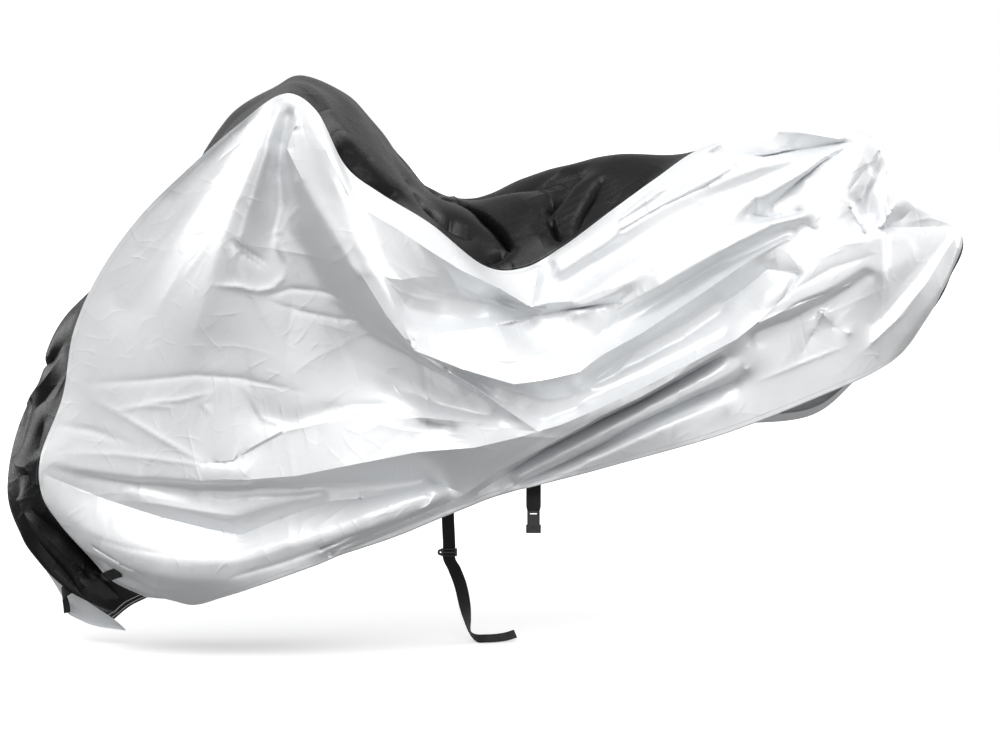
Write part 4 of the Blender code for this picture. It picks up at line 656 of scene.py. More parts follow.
def away_from(at, a, b):
    """How far places are from the stretch between a and b, and their share of the way along it."""
    share = np.clip((at - a) @ (b - a) / ((b - a) @ (b - a)), 0, 1)
    return np.linalg.norm(at - a - share[:, None] * (b - a), axis=1), share


def stretches(folds, sharp):
    """Each stretch of the sharp or of the soft folds: the fold's number, its roundness and the two ends."""
    for number, (_, roundness, line) in enumerate(folds):
        if sharp == (roundness == 0):
            for start, end in zip(line, line[1:]):
                yield number, roundness, start, end


def nearest_creases(places, folds, wide, past=0.003):
    """Which sharp fold each place of a grid is to lie on, the place there, and how far out it stands.

    A fold takes a point of each row or column that it crosses, so that its edge runs along edges of faces.
    """
    across, along = np.gradient(places, axis=0), np.gradient(places, axis=1)
    taken = np.full(places.shape[:2], -1)
    target, out = places.copy(), np.zeros(places.shape[:2])
    best = np.ones(places.shape[:2])
    for number, _, start, end in stretches(folds, sharp=True):
        a, b = start[:2], end[:2]
        span = b - a
        facing = np.array([-span[1], span[0]]) / np.linalg.norm(span)
        near = np.nonzero(within(places, (a, b), wide))
        at = places[near]
        share = (at - a) @ span / (span @ span)
        reach = np.maximum(np.abs(across[near] @ facing), np.abs(along[near] @ facing)) / 2
        ratio = np.abs((at - a) @ facing) / np.maximum(reach, 1e-6)
        over = past / np.linalg.norm(span)
        picked = (ratio < best[near]) & (share > -over) & (share < 1 + over)
        rows = tuple(index[picked] for index in near)
        share = np.clip(share[picked], 0, 1)
        best[rows] = ratio[picked]
        taken[rows] = number
        target[rows] = a + share[:, None] * span
        out[rows] = start[2] + (end[2] - start[2]) * share
    return taken, target, out


def moved_onto(points, places, target, moves, farthest=0.8):
    """The grid's points slid along their surface until their places are the target's, and which ones moved.

    A point moves no further than a share of the way to its neighbours.
    """
    across, along = np.gradient(places, axis=0), np.gradient(places, axis=1)
    delta = target - places
    det = across[..., 0] * along[..., 1] - across[..., 1] * along[..., 0]
    moves = moves & (np.abs(det) > 1e-7)
    det = np.where(moves, det, 1)
    first = (delta[..., 0] * along[..., 1] - delta[..., 1] * along[..., 0]) / det
    second = (across[..., 0] * delta[..., 1] - across[..., 1] * delta[..., 0]) / det
    moves = moves & (np.abs(first) < farthest) & (np.abs(second) < farthest)
    down, beside = np.gradient(points, axis=0), np.gradient(points, axis=1)
    slid = points + first[..., None] * down + second[..., None] * beside
    return np.where(moves[..., None], slid, points), moves


def fold_pull(places, folds, pull=3.0):
    """How strongly each point of a grid is drawn to the soft folds' lines, and how far out they draw it."""
    strength = np.zeros(places.shape[:2])
    drawn = np.zeros(places.shape[:2])
    for _, roundness, start, end in stretches(folds, sharp=False):
        near = within(places, (start[:2], end[:2]), 3 * roundness)
        away, share = away_from(places[near], start[:2], end[:2])
        weight = pull * np.exp(-((away / roundness) ** 2))
        strength[near] += weight
        drawn[near] += weight * (start[2] + (end[2] - start[2]) * share)
    return strength, drawn


def neighbour_shares(points):
    """How much each point's four neighbours count for it, the nearer the more: four in all."""
    across, along = (np.linalg.norm(np.diff(points, axis=axis), axis=2) for axis in (0, 1))
    across = np.pad(across, ((1, 1), (0, 0)), mode="edge") + 1e-4
    along = np.pad(along, ((0, 0), (1, 1)), mode="edge") + 1e-4
    width, length = across[:-1] + across[1:], along[:, :-1] + along[:, 1:]
    spans = [across[:-1] * width, across[1:] * width, along[:, :-1] * length, along[:, 1:] * length]
    shares = 1 / np.stack(spans)
    return 4 * shares / shares.sum(axis=0)


def taut_between(strength, drawn, pinned, out, shares, loose_hem, rounds=600, speed=1.93):
    """The cloth's stand-off pulled taut between its folds: each point is the mean of its neighbours."""
    out = np.where(pinned, out, 0)
    odd = np.indices(out.shape).sum(axis=0) % 2
    free = ~pinned
    free[0] = free[:, 0] = free[:, -1] = False
    free[-1] &= loose_hem
    give = [np.where(free & (odd == parity), speed / (4 + strength), 0) for parity in (0, 1)]
    for _ in range(rounds):
        for parity in (0, 1):
            padded = np.pad(out, 1, mode="edge")
            sides = (padded[:-2, 1:-1], padded[2:, 1:-1], padded[1:-1, :-2], padded[1:-1, 2:])
            around = sum(share * side for share, side in zip(shares, sides))
            out = out + give[parity] * (around + drawn - (4 + strength) * out)
    return out


def folded(points, places, folds, wide=0.012, loose_hem=False):
    """The grid fitted to its folds, how far out they draw it, and the number of each point's sharp fold."""
    taken, target, out = nearest_creases(places, folds, wide)
    taken[0] = taken[:, 0] = taken[:, -1] = -1
    if not loose_hem:
        taken[-1] = -1
    points, moved = moved_onto(points, places, target, taken >= 0)
    taken = np.where(moved, taken, -1)
    places = np.where(moved[..., None], target, places)
    out = taut_between(*fold_pull(places, folds), moved, out, neighbour_shares(points), loose_hem)
    return points, out, taken


def pressed_lines(places, lines):
    """Thin creases on top of the folds: each stands highest on its line, and its ends fade out."""
    out = np.zeros(places.shape[:2])
    for _, width, height, line in lines:
        steps = np.linalg.norm(np.diff(line, axis=0), axis=1)
        run = np.concatenate([[0], np.cumsum(steps)])
        near = within(places, line, 5 * width)
        at = places[near]
        away, along = np.full(len(at), 1.0), np.zeros(len(at))
        for k, (a, b) in enumerate(zip(line, line[1:])):
            off, share = away_from(at, a, b)
            along = np.where(off < away, (run[k] + share * steps[k]) / run[-1], along)
            away = np.minimum(away, off)
        fade = np.sin(np.pi * np.clip(along, 0.03, 0.97)) ** 0.6
        out[near] += height * fade * np.exp(-away / width)
    return out


def evened(side, rounds=90):
    """The side with its stand-off evened out along it, apart from its seam."""
    steps = np.linalg.norm(np.diff(side[:, :, [0, 2]], axis=1), axis=2)
    before, after = steps[:, :-1], steps[:, 1:]
    deep = side[:, :, 1].copy()
    for _ in range(rounds):
        straight = (deep[:, :-2] * after + deep[:, 2:] * before) / (before + after)
        deep[:, 1:-1] += 0.5 * (straight - deep[:, 1:-1])
    side[:, :, 1] += eased_in(len(side), 12) * (deep - side[:, :, 1])
    return side


def rumpled(points, size, depth, seed):
    """A soft unevenness over a grid of points, in metres."""
    flat = points.reshape(-1, 3) / size + seed
    return depth * np.array([noise.noise(Vector(p)) for p in flat]).reshape(points.shape[:2])


def fine_creases(points, seed):
    """Short straight creases here and there, which run roughly away from the handlebar and the tail."""
    chance = np.random.default_rng(seed)
    places = points[:, :, [0, 2]]
    out = np.zeros(places.shape[:2])
    low, high = places.min(axis=(0, 1)), places.max(axis=(0, 1))
    for _ in range(CREASE_COUNT):
        centre = low + (high - low) * chance.random(2)
        top = FRONT_TOP if centre[0] < REAR_STARTS else REAR_TOP
        turn = np.arctan2(*(centre - top)[::-1]) + chance.normal(0, 0.35)
        length, width = chance.uniform(*CREASE_LENGTH), chance.uniform(*CREASE_WIDTH)
        height = CREASE_DEPTH * chance.uniform(0.3, 1.0) * chance.choice([-1, 1])
        near = (np.abs(places - centre) < 2.5 * length).all(axis=2)
        at = places[near] - centre
        run = at @ np.array([np.cos(turn), np.sin(turn)])
        off = at @ np.array([-np.sin(turn), np.cos(turn)])
        out[near] += height * np.exp(-((run / length) ** 2)) * np.exp(-np.abs(off) / width)
    return out


# ---------------------------------------------------------------- meshes


def split_faces(points, taken, bonus=1.0):
    """Two triangles for each face of the grid, split on a fold's edge or else on the shorter diagonal.

    The bonus is longer than any diagonal, so that a fold's edge always comes first.
    """
    columns, rows = points.shape[:2]
    index = np.arange(columns * rows).reshape(columns, rows)
    a, b, c, d = index[:-1, :-1], index[1:, :-1], index[1:, 1:], index[:-1, 1:]
    flat, fold = points.reshape(-1, 3), taken.reshape(-1)
    lengths = []
    for start, end in ((a, c), (b, d)):
        on_fold = (fold[start] >= 0) & (fold[start] == fold[end])
        lengths.append(np.linalg.norm(flat[start] - flat[end], axis=-1) - bonus * on_fold)
    along_first = (lengths[0] <= lengths[1])[..., None]
    one = np.where(along_first, np.stack([a, b, c], -1), np.stack([a, b, d], -1))
    two = np.where(along_first, np.stack([a, c, d], -1), np.stack([b, c, d], -1))
    return np.concatenate([one.reshape(-1, 3), two.reshape(-1, 3)])


def add_maps(mesh, corners, **maps):
    """UV maps that give two measures of each point, in metres, to each corner of the faces."""
    for title, measures in maps.items():
        both = np.stack(measures, axis=-1).reshape(-1, 2)[corners.reshape(-1)]
        mesh.uv_layers.new(name=title).data.foreach_set("uv", both.reshape(-1).astype(np.float32))


def cloth_piece(name, mesh, material):
    """The mesh as a piece of its material, linked to the scene."""
    mesh.materials.append(material)
    piece = bpy.data.objects.new(name, mesh)
    bpy.context.scene.collection.objects.link(piece)
    return piece


def sheet_object(name, points, facing, material, taken, hem=-1):
    """A sheet of cloth from its grid of points.

    Its UV maps give each place's run along and across it, in metres, and how far it is from the nearer end
    and from the nearer edge, where hem is the column of a turned-in hem.
    """
    columns, rows = points.shape[:2]
    mesh = bpy.data.meshes.new(name)
    corners = split_faces(points, taken)[:, ::facing]
    mesh.vertices.add(columns * rows)
    mesh.vertices.foreach_set("co", (points - (0, 0, BAR_HEIGHT)).reshape(-1).astype(np.float32))
    mesh.loops.add(corners.size)
    mesh.loops.foreach_set("vertex_index", corners.reshape(-1).astype(np.int32))
    mesh.polygons.add(len(corners))
    mesh.polygons.foreach_set("loop_start", np.arange(0, corners.size, 3, dtype=np.int32))
    mesh.update(calc_edges=True)
    mesh.shade_smooth()

    ends = np.empty(len(mesh.edges) * 2, np.int32)
    mesh.edges.foreach_get("vertices", ends)
    folds = taken.reshape(-1)[ends.reshape(-1, 2)]
    sharp = mesh.attributes.new("sharp_edge", "BOOLEAN", "EDGE")
    sharp.data.foreach_set("value", (folds[:, 0] >= 0) & (folds[:, 0] == folds[:, 1]))

    along = np.zeros((columns, rows))
    along[:, 1:] = np.cumsum(np.linalg.norm(np.diff(points, axis=1), axis=2), axis=1)
    across = np.zeros((columns, rows))
    across[1:] = np.cumsum(np.linalg.norm(np.diff(points, axis=0), axis=2), axis=0)
    from_end = np.minimum(along, along[:, -1:] - along)
    from_edge = np.minimum(across, np.abs(across - across[hem]))
    add_maps(mesh, corners, cloth=(along, across), edge=(from_end, from_edge))
    piece = cloth_piece(name, mesh, material)
    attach(piece, "root")
    return piece


# ---------------------------------------------------------------- finishes


class Socket:
    """An output of a node, whose arithmetic adds Math nodes."""

    def __init__(self, nodes, socket):
        self.nodes = nodes
        self.socket = socket

    def output(self, name):
        return Socket(self.nodes, self.socket.node.outputs[name])

    def maths(self, operation, *values):
        return self.nodes.node("ShaderNodeMath", {"operation": operation}, dict(enumerate(values)))

    def __add__(self, other):
        return self.maths("ADD", self, other)

    def __sub__(self, other):
        return self.maths("SUBTRACT", self, other)

    def __rsub__(self, other):
        return self.maths("SUBTRACT", other, self)

    def __mul__(self, other):
        return self.maths("MULTIPLY", self, other)

    def __pow__(self, other):
        return self.maths("POWER", self, other)

    def __mod__(self, other):
        return self.maths("FLOORED_MODULO", self, other)

    def __lt__(self, other):
        return self.maths("LESS_THAN", self, other)

    def __abs__(self):
        return self.maths("ABSOLUTE", self)

    __radd__ = __add__
    __rmul__ = __mul__

    def wave(self, pitch):
        """Rises and falls between 0 and 1 once in each pitch."""
        return self.maths("SINE", self * (2 * np.pi / pitch)) * 0.5 + 0.5

    def clamped(self):
        """The value kept between 0 and 1."""
        return self.maths("MINIMUM", self.maths("MAXIMUM", self, 0), 1)


class Nodes:
    """A node tree, with methods that add nodes to it."""

    def __init__(self, tree):
        self.tree = tree

    def connect(self, socket, value):
        if isinstance(value, Socket):
            self.tree.links.new(value.socket, socket)
        else:
            socket.default_value = value

    def node(self, kind, settings=None, inputs=None, output=0):
        made = self.tree.nodes.new(kind)
        for setting, value in (settings or {}).items():
            setattr(made, setting, value)
        for socket, value in (inputs or {}).items():
            self.connect(made.inputs[socket], value)
        return Socket(self, made.outputs[output])

    def between(self, share, first, second):
        """A colour between two others."""
        return self.node("ShaderNodeMix", {"data_type": "RGBA"}, {0: share, 6: first, 7: second}, output=2)


class Finish(Nodes):
    """A material and its node tree."""

    def __init__(self, name, roughness, metallic=0.0, **constants):
        self.material = bpy.data.materials.new(name)
        self.material.use_nodes = True
        super().__init__(self.material.node_tree)
        self.shader = self.tree.nodes["Principled BSDF"]
        self.set("Roughness", roughness)
        self.set("Metallic", metallic)
        for socket, value in constants.items():
            self.set(socket.replace("_", " "), value)

    def set(self, socket, value):
        self.connect(self.shader.inputs[socket], value)

    def place(self):
        return self.node("ShaderNodeTexCoord", output="Object")

    def measured(self, title):
        """A UV map's two measures of each place on the cloth, in metres."""
        vector = self.node("ShaderNodeUVMap", {"uv_map": title})
        first = self.node("ShaderNodeSeparateXYZ", inputs={0: vector})
        return first, first.output("Y")

    def cloud(self, vector, size, detail):
        inputs = {"Vector": vector, "Scale": 1 / size, "Detail": detail, "Roughness": 0.5}
        return self.node("ShaderNodeTexNoise", inputs=inputs)

    def relief(self, height, depth):
        """Raises and sinks the surface by the height, which runs from 0 to 1, times the depth in metres."""
        self.set("Normal", self.node("ShaderNodeBump", inputs={"Height": height, "Distance": depth}))


def grey(value, warmth=0.0):
    return (value * (1 + warmth), value, value * (1 - warmth), 1.0)


def dashes(along, across, pitch, from_edge, width):
    """A row of stitches beside an edge: 1 on a stitch and 0 off it."""
    on_line = abs(across - from_edge) < width / 2
    on_stitch = (along % pitch) < pitch * 0.72
    return on_line * on_stitch


def crinkles(finish, pitch, seed):
    """Long faint creases in three directions, which come and go as they do in crushed taffeta."""
    place = finish.place()
    bend = finish.cloud(place, pitch * 3, detail=1.0) * (pitch * 2.2)
    height = 0
    for turn, (across, down) in enumerate(((0.94, 0.34), (-0.64, 0.77), (0.17, 0.98))):
        settings, inputs = {"operation": "DOT_PRODUCT"}, {0: place, 1: (across, 0.2, down)}
        run = finish.node("ShaderNodeVectorMath", settings, inputs, output="Value") + bend + seed
        peak = 1 - abs(run % pitch - pitch / 2) * (2 / pitch)
        shift = finish.node("ShaderNodeMapping", inputs={"Vector": place, "Location": (seed, turn, seed)})
        where = ((finish.cloud(shift, pitch * 1.7, detail=1.0) - 0.54) * 6).clamped()
        height = peak**5 * where + height
    return height


def silver_cloth():
    """Taffeta with a silver coat and a dull sheen, with a row of stitches beside its seam, hem and ends."""
    finish = Finish("silver_cloth", roughness=0.5, metallic=0.28)
    along, across = finish.measured("cloth")
    from_end, from_edge = finish.measured("edge")
    thread, stitch, stitch_width = 0.0011, 0.0034, 0.0006
    weave = along.wave(thread) * across.wave(thread)
    clouds = finish.cloud(finish.place(), 0.16, detail=3.0)
    mottle = finish.cloud(finish.place(), 0.012, detail=2.0)
    colour = finish.between(clouds * 0.7 + mottle * 0.3, grey(0.79, -0.012), grey(0.89, -0.020))
    edge_row = dashes(along, from_edge, stitch, 0.0100, stitch_width)
    stitches = edge_row + dashes(across, from_end, stitch, 0.0060, stitch_width)
    finish.set("Base Color", finish.between(stitches * 0.5, colour, grey(0.42)))
    finish.set("Roughness", clouds * 0.16 + 0.31)
    lines = crinkles(finish, 0.090, 3.1) * 0.8 + crinkles(finish, 0.034, 7.7) * 0.4
    finish.relief(lines + weave * 0.012 + mottle * 0.12 - stitches * 0.3, 0.0016)
    return finish.material


def black_cloth():
    """Black coated taffeta: puckers and stitches beside its seams, and two pale rows across its ends."""
    finish = Finish("black_cloth", roughness=0.40, Specular_IOR_Level=0.22)
    along, across = finish.measured("cloth")
    from_end, from_edge = finish.measured("edge")
    thread, stitch = 0.0012, 0.0045
    weave = along.wave(thread) * across.wave(thread)
    clouds = finish.cloud(finish.place(), 0.10, detail=3.0)
    mottle = finish.cloud(finish.place(), 0.009, detail=2.0)
    colour = finish.between(clouds * 0.6 + mottle * 0.4, grey(0.004), grey(0.010, 0.01))
    seam_stitches = dashes(along, from_edge, stitch, 0.0050, 0.0010)
    hem_stitches = sum(dashes(across, from_end, stitch, row, 0.0022) for row in (0.0050, 0.0140))
    colour = finish.between(seam_stitches, colour, grey(0.10))
    finish.set("Base Color", finish.between(hem_stitches, colour, grey(0.62)))
    finish.set("Roughness", mottle * 0.12 + 0.20)
    puckers = along.wave(0.017) * (from_edge < 0.012) * 0.10
    finish.relief(crinkles(finish, 0.060, 5.3) * 1.1 + weave * 0.04 + mottle * 0.05 + puckers, 0.0018)
    return finish.material


def webbing_cloth():
    """Black woven band: a fine herringbone between plain edges, with two rows of stitches at its ends."""
    finish = Finish("webbing", roughness=0.62, Specular_IOR_Level=0.35)
    along, across = finish.measured("cloth")
    from_end, from_edge = finish.measured("edge")
    rib = 0.0046  # from one turn of the herringbone to the next but one
    herringbone = (along + abs(across % rib - rib / 2)).wave(0.0013)
    edging = from_edge < 0.0017
    weave = edging * along.wave(0.0009) + (1 - edging) * herringbone
    wear = finish.cloud(finish.place(), 0.006, detail=3.0)
    colour = finish.between(weave * 0.6 + wear * 0.4, grey(0.006), grey(0.022))
    stitches = sum(dashes(across, from_end, 0.0028, row, 0.0008) for row in (0.0055, 0.0085))
    finish.set("Base Color", finish.between(stitches, colour, grey(0.07)))
    finish.set("Roughness", weave * 0.14 + 0.54)
    finish.relief(weave * 0.7 + wear * 0.2 + stitches * 0.5, 0.0004)
    return finish.material


def buckle_plastic():
    """Black moulded plastic: a fine grain, a soft gloss and faint pale scuffs."""
    finish = Finish("buckle_plastic", roughness=0.38, Specular_IOR_Level=0.45)
    place = finish.place()
    grain = finish.cloud(place, 0.0005, detail=2.0)
    patches = finish.cloud(place, 0.006, detail=3.0)
    scuffs = ((finish.cloud(place, 0.0022, detail=4.0) - 0.60) * 6).clamped()
    colour = finish.between(patches, grey(0.014), grey(0.026))
    finish.set("Base Color", finish.between(scuffs * 0.4, colour, grey(0.06)))
    finish.set("Roughness", patches * 0.14 + grain * 0.10 + 0.30)
    finish.relief(grain * 0.6 + patches * 0.4, 0.0002)
    return finish.material


# ---------------------------------------------------------------- straps and tabs


def unit(vectors):
    return vectors / np.linalg.norm(vectors, axis=-1, keepdims=True)


def there_and_back(centre, facing, spread):
    """The line of a band that is folded back on itself at its far end, and which way its places face."""
    turn = np.linspace(0, np.pi, 9)[1:-1, None]
    bend_facing = np.cos(turn) * facing[-1] + np.sin(turn) * unit(centre[-1] - centre[-2])
    there, bend = centre + facing * spread / 2, centre[-1] + spread / 2 * bend_facing
    back = (centre - facing * spread / 2)[::-1]
    return np.concatenate([there, bend, back]), np.concatenate([facing, bend_facing, -facing[::-1]])


def band_outline(width, thickness):
    """The outline of a band's section: how far each point is from its middle, across it and out of it."""
    flat_half, radius = (width - thickness) / 2, thickness / 2
    flat = np.linspace(-1, 1, ACROSS_WEBBING) * flat_half
    turn = np.linspace(0, np.pi, ROUND_WEBBING_EDGE + 2)[1:-1]
    face = np.stack([flat, np.full(len(flat), radius)], axis=1)
    edge = np.stack([flat_half + np.sin(turn) * radius, np.cos(turn) * radius], axis=1)
    return np.concatenate([face, edge, -face, -edge])


def webbing_band(name, rows, width, thickness, material, folded_back, gather):
    """A woven band with round edges that follows its rows, once or there and back, and its flat size.

    It is drawn in at its lowest place, over the height that gather gives.
    """
    last = len(rows) - 1
    at = np.linspace(0, last, last * ROWS_OF_WEBBING + 1)
    line = cubic(range(last + 1), [(*place, *way) for place, way in rows], at)
    centre, across = line[:, :3], unit(line[:, 3:])
    facing = unit(np.cross(across, np.gradient(centre, axis=0)))
    if folded_back:
        centre, facing = there_and_back(centre, facing, thickness * LAYERS_APART)
        bend = np.repeat(across[-1:], len(centre) - 2 * len(across), axis=0)
        across = np.concatenate([across, bend, across[::-1]])
    narrow = np.ones((len(centre), 1))
    if gather:
        lift = centre[:, 2:] - centre[:, 2].min()
        narrow = GATHERED + (1 - GATHERED) * np.clip(lift / gather, 0, 1) ** 0.5
    outline = band_outline(width, thickness)
    points = centre + outline[:, None, :1] * across * narrow + outline[:, None, 1:] * facing
    around, length = points.shape[:2]

    mesh = bpy.data.meshes.new(name)
    index = np.arange(around * length).reshape(around, length)
    beside = np.roll(index, -1, axis=0)
    quads = np.stack([index[:, :-1], beside[:, :-1], beside[:, 1:], index[:, 1:]], axis=-1)
    faces = [*quads.reshape(-1, 4).tolist(), index[::-1, 0].tolist(), index[:, -1].tolist()]
    mesh.from_pydata((points.reshape(-1, 3) - (0, 0, BAR_HEIGHT)).tolist(), [], faces)
    mesh.validate()
    mesh.shade_smooth()
    run = np.concatenate([[0], np.cumsum(np.linalg.norm(np.diff(centre, axis=0), axis=1))])
    along = np.tile(run, (around, 1))
    over = np.repeat(outline[:, :1] + width / 2, length, axis=1)
    from_end, from_edge = np.minimum(along, run[-1] - along), np.minimum(over, width - over)
    corners = np.array([loop.vertex_index for loop in mesh.loops])
    add_maps(mesh, corners, cloth=(along, over), edge=(from_end, from_edge))
    piece = cloth_piece(name, mesh, material)
    outward(piece)
    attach(piece, "root")
    return piece, (width, float(run[-1]))


# ---------------------------------------------------------------- buckle and slide


def only(piece):
    bpy.ops.object.select_all(action="DESELECT")
    piece.select_set(True)
    bpy.context.view_layer.objects.active = piece


def outward(piece):
    """Turns a closed piece's faces outwards."""
    only(piece)
    bpy.ops.object.mode_set(mode="EDIT")
    bpy.ops.mesh.select_all(action="SELECT")
    bpy.ops.mesh.normals_make_consistent(inside=False)
    bpy.ops.object.mode_set(mode="OBJECT")


def just_added(name):
    """The shape that was added last, with its name and its final place."""
    piece = bpy.context.object
    piece.name = piece.data.name = name
    bpy.ops.object.transform_apply(location=True, rotation=True, scale=True)
    return piece


def block(name, low, high):
    """A box between two corners."""
    low, high = np.array(low), np.array(high)
    bpy.ops.object.select_all(action="DESELECT")
    bpy.ops.mesh.primitive_cube_add(size=1, location=tuple((low + high) / 2), scale=tuple(high - low))
    return just_added(name)


def pin(name, centre, radius, depth):
    """A round bar from front to back."""
    bpy.ops.object.select_all(action="DESELECT")
    turned = {"location": tuple(centre), "rotation": (np.pi / 2, 0, 0)}
    bpy.ops.mesh.primitive_cylinder_add(vertices=40, radius=radius, depth=depth, **turned)
    return just_added(name)


def rounded_upright(piece, width, segments=4):
    """The piece with the edges that run up and down rounded."""
    only(piece)
    bpy.ops.object.mode_set(mode="EDIT")
    bpy.ops.mesh.select_mode(type="EDGE")
    bpy.ops.mesh.select_all(action="DESELECT")
    bpy.ops.object.mode_set(mode="OBJECT")
    points = piece.data.vertices
    for edge in piece.data.edges:
        run = points[edge.vertices[0]].co - points[edge.vertices[1]].co
        edge.select = abs(run.z) > 0.9 * run.length
    bpy.ops.object.mode_set(mode="EDIT")
    bpy.ops.mesh.bevel(offset=width, segments=segments, affect="EDGES")
    bpy.ops.object.mode_set(mode="OBJECT")
    return piece


def applied(piece, kind, **settings):
    """Adds a modifier and applies it."""
    only(piece)
    step = piece.modifiers.new(kind.lower(), kind)
    for setting, value in settings.items():
        setattr(step, setting, value)
    bpy.ops.object.modifier_apply(modifier=step.name)


def joined(piece, other, operation):
    """Adds the other shape to the piece or cuts it out, and deletes the other."""
    applied(piece, "BOOLEAN", operation=operation, solver="EXACT", object=other)
    bpy.data.objects.remove(other, do_unlink=True)


def cut_out(piece, name, centre, half):
    """Cuts a box out of the piece, given its centre and half its size."""
    joined(piece, block(name, centre - half, centre + half), "DIFFERENCE")


def moulded(piece, material, edge):
    """The piece with its edges rounded as a mould leaves them, finished and riding on the body."""
    applied(piece, "BEVEL", width=edge, segments=3, limit_method="ANGLE", angle_limit=MOULD_ANGLE)
    piece.data.materials.clear()
    piece.data.materials.append(material)
    outward(piece)
    bpy.ops.object.shade_smooth_by_angle(angle=SMOOTH_ANGLE)
    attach(piece, "root")
    return piece


def buckle_half(plastic):
    """The buckle's outer half: a flat sleeve with a slot, a thicker collar with grips, and a mouth."""
    low, high = (np.array(corner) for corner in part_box("buckle_body"))
    middle = (low + high) / 2
    inset = np.array([SLEEVE_INSET, SLEEVE_INSET, 0])
    body = rounded_upright(block("buckle_half", low + inset, high - inset), SLEEVE_CORNER)
    collar = block("collar", low, (high[0], high[1], low[2] + COLLAR_HEIGHT))
    joined(body, rounded_upright(collar, COLLAR_CORNER), "UNION")
    groove = np.array([GROOVE_DEPTH, THROUGH, GROOVE_HEIGHT / 2])
    for number in range(GROOVES):
        height = low[2] + FIRST_GROOVE + number * GROOVE_PITCH
        for side in (low[0], high[0]):
            cut_out(body, "groove", np.array([side, middle[1], height]), groove)
    for side in (low[1], high[1]):
        hollow = pin("thumb_hollow", (middle[0], side, low[2] + HOLLOW_LIFT), HOLLOW_RADIUS, HOLLOW_DEPTH)
        joined(body, hollow, "DIFFERENCE")
    slot_at = np.array([middle[0], middle[1], high[2] - SLOT_DROP])
    cut_out(body, "slot", slot_at, np.array([SLOT_SIZE[0] / 2, THROUGH, SLOT_SIZE[1] / 2]))
    reach = np.array(MOUTH_SIZE) / 2
    foot, top = (*(middle[:2] - reach), low[2] - THROUGH), (*(middle[:2] + reach), low[2] + MOUTH_REACH)
    mouth = block("mouth", foot, top)
    joined(body, rounded_upright(mouth, MOUTH_CORNER, 2), "DIFFERENCE")
    return moulded(body, plastic, BUCKLE_EDGE)


def slide_adjuster(plastic):
    """The slide on the long strap: a frame with a bar across its two windows, and an eye at its end."""
    low, high = (np.array(corner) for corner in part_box("strap_slide"))
    half = np.array(SLIDE_SIZE) / 2
    centre = np.array([high[0] - half[0], (low[1] + high[1]) / 2, (low[2] + high[2]) / 2])
    lug_at = (LUG_X, centre[1], centre[2])
    body = block("slide_adjuster", centre - half, centre + half)
    joined(body, pin("lug", lug_at, LUG_RADIUS, LUG_DEPTH), "UNION")
    passage = np.array([FAR_WIDTH / 2 + STRAP_ROOM[0], WEBBING / 2 + STRAP_ROOM[1], THROUGH])
    cut_out(body, "passage", centre, passage)
    for lift in (-WINDOW_LIFT, WINDOW_LIFT):
        size = np.array([SLIDE_WINDOW[0] / 2, THROUGH, SLIDE_WINDOW[1] / 2])
        cut_out(body, "window", centre + (0, 0, lift), size)
    joined(body, pin("eye", lug_at, LUG_HOLE_RADIUS, THROUGH), "DIFFERENCE")
    return moulded(body, plastic, SLIDE_EDGE)


# ---------------------------------------------------------------- the cover


def side_panel(name, way, lines, grid, folds, creases, seeds, silver, shoulder=None):
    """One side as a sheet that faces the way along Y, and its points without the turned-in hem.

    The lines are its seam, its hem and its belly, and only the near side has a shoulder and is evened.
    """
    rows, columns = grid
    stations = even_stations(*lines[:2], rows)
    seam, hem, belly = (guide(line, stations) for line in lines)
    if shoulder:
        side = evened(side_surface(seam, hem, belly, columns, guide(shoulder, stations)))
    else:
        side = side_surface(seam, hem, belly, columns)
    side, out, taken = folded(side, side[:, :, [0, 2]], in_metres(folds), loose_hem=True)
    out += eased_in(len(side), 8) * (rumpled(side, *SIDE_RUMPLE, seeds[0]) + fine_creases(side, seeds[1]))
    out += pressed_lines(side[:, :, [0, 2]], in_metres(creases))
    side[:, :, 1] += way * out
    taken = np.pad(taken, ((0, TUCK_COLUMNS), (0, 0)), constant_values=-1)
    whole = with_tuck(side, guide(TUCK, stations), -way)
    return sheet_object(name, whole, way, silver, taken, columns), side


def top_strip(black):
    """The strip over the top, whose folds are placed on it and not in the air."""
    rows, columns = STRIP_GRID
    stations = even_stations(NEAR_SEAM, FAR_SEAM, rows)
    share = np.linspace(0, 1, columns + 1)
    lines = [guide(line, stations) for line in (NEAR_SEAM, CROWN, FAR_SEAM)]
    strip = cubic([0, 0.5, 1], np.stack(lines), share)
    places = np.stack(np.meshgrid(share, stations / STATIONS_WIDE, indexing="ij")[::-1], axis=2)
    scale = (STATIONS_WIDE, 1, 1000)
    folds = [(name, roundness, np.array(line) / scale) for name, roundness, line in STRIP_FOLDS]
    strip, out, taken = folded(strip, places, folds, STRIP_FOLD_REACH)
    free = np.minimum(1, 5 * np.minimum(share, 1 - share))[:, None]
    out += free * rumpled(strip, *STRIP_RUMPLE, STRIP_SEED)
    return sheet_object("top_strip", strip + normals_of(strip) * out[:, :, None], 1, black, taken)


# ---------------------------------------------------------------- the studio


